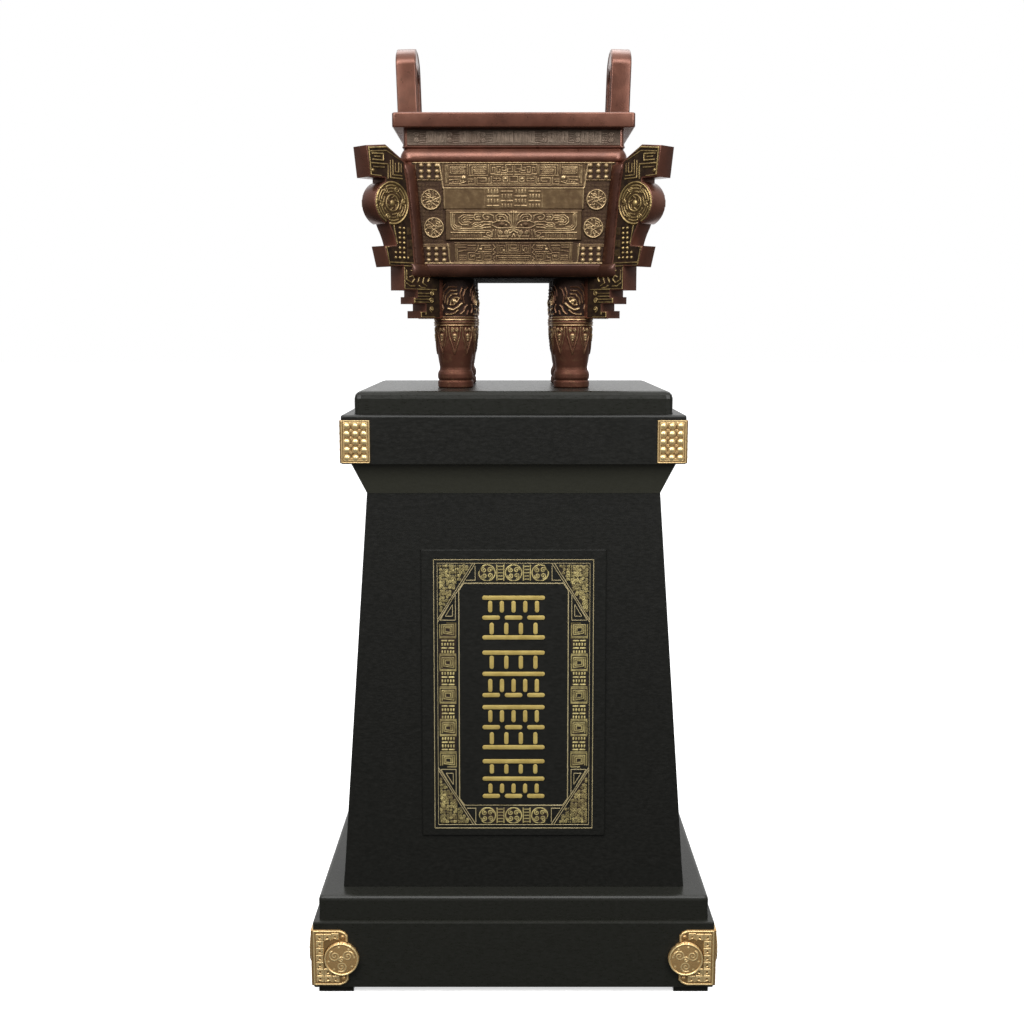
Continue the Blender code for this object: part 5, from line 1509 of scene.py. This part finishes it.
def make_floor():
    mesh = bpy.data.meshes.new("floor")
    side = 30.0
    corners = [(x, y, 0) for x, y in rectangle((-side, -side), (side, side))[3::-1]]
    mesh.from_pydata(corners, [], [(0, 1, 2, 3)])
    floor = bpy.data.objects.new("floor", mesh)
    bpy.context.scene.collection.objects.link(floor)
    material, tree = new_material("pale_floor")
    shader = tree.nodes["Principled BSDF"]
    tint = ramp(tree, noise(tree, 3, 2), ((0.3, (0.90, 0.90, 0.90)), (0.7, (0.94, 0.94, 0.94))))
    link(tree, tint, shader.inputs["Base Color"])
    shader.inputs["Roughness"].default_value = 0.9
    shader.inputs["Emission Color"].default_value = (1, 1, 1, 1)
    shader.inputs["Emission Strength"].default_value = 0.62
    mesh.materials.append(material)
    floor.visible_diffuse = False
    floor.visible_glossy = False


def make_world():
    """A white studio behind, a dim room in front, a bright ceiling and a dark ground."""
    world = bpy.data.worlds.new("studio")
    bpy.context.scene.world = world
    world.use_nodes = True
    tree = world.node_tree
    where = tree.nodes.new("ShaderNodeTexCoord")
    split = tree.nodes.new("ShaderNodeSeparateXYZ")
    link(tree, where.outputs["Generated"], split.inputs["Vector"])
    behind = ramp(tree, split.outputs["Y"], ((0.62, 0.0), (0.78, 1.0)))
    lift = tree.nodes.new("ShaderNodeMapRange")
    lift.inputs["From Min"].default_value = -1.0
    link(tree, split.outputs["Z"], lift.inputs["Value"])
    room = ramp(tree, lift.outputs["Result"], ((0.40, 0.08), (0.52, 0.21), (0.62, 0.36), (0.80, 0.55),
                                               (1.0, 1.40)))
    colour = mix(tree, behind, room, (1.0, 1.0, 1.0))
    link(tree, colour, tree.nodes["Background"].inputs["Color"])
    tree.nodes["Background"].inputs["Strength"].default_value = 1.0


def make_lights():
    add_light("key", (-1.9, -2.3, 2.6), (0, 0, 1.0), (1.6, 1.2), 38)
    add_light("fill", (1.7, -2.4, 2.2), (0, 0, 0.95), (1.2, 1.6), 32)
    add_light("strip", (0, -1.9, 3.1), (0, 0, 1.0), (3.2, 1.1), 44)
    add_light("back", (0, 1.2, 3.0), (0, 0, 0.8), (2.2, 1.2), 16)


def make_camera():
    data = bpy.data.cameras.new("camera")
    data.lens = 43.945
    data.sensor_width = 36.0
    camera = bpy.data.objects.new("camera", data)
    bpy.context.scene.collection.objects.link(camera)
    camera.location = (-0.0023, -1.953, 0.975)
    camera.rotation_euler = (math.radians(81.447), 0, 0)
    bpy.context.scene.camera = camera


def main():
    make_camera()
    make_floor()
    make_world()
    make_lights()
    bpy.context.scene.view_settings.view_transform = "Standard"
    make_body()
    for quarter, name in enumerate(("front", "right", "back", "left")):
        make_panel(quarter, name)
        make_neck(quarter, name)
    make_ears()
    make_flanges()
    make_legs()
    make_fittings()
    make_plaque_lines()
    make_plaque_strokes()
    make_plaque_relief()
    dress_pedestal()


main()
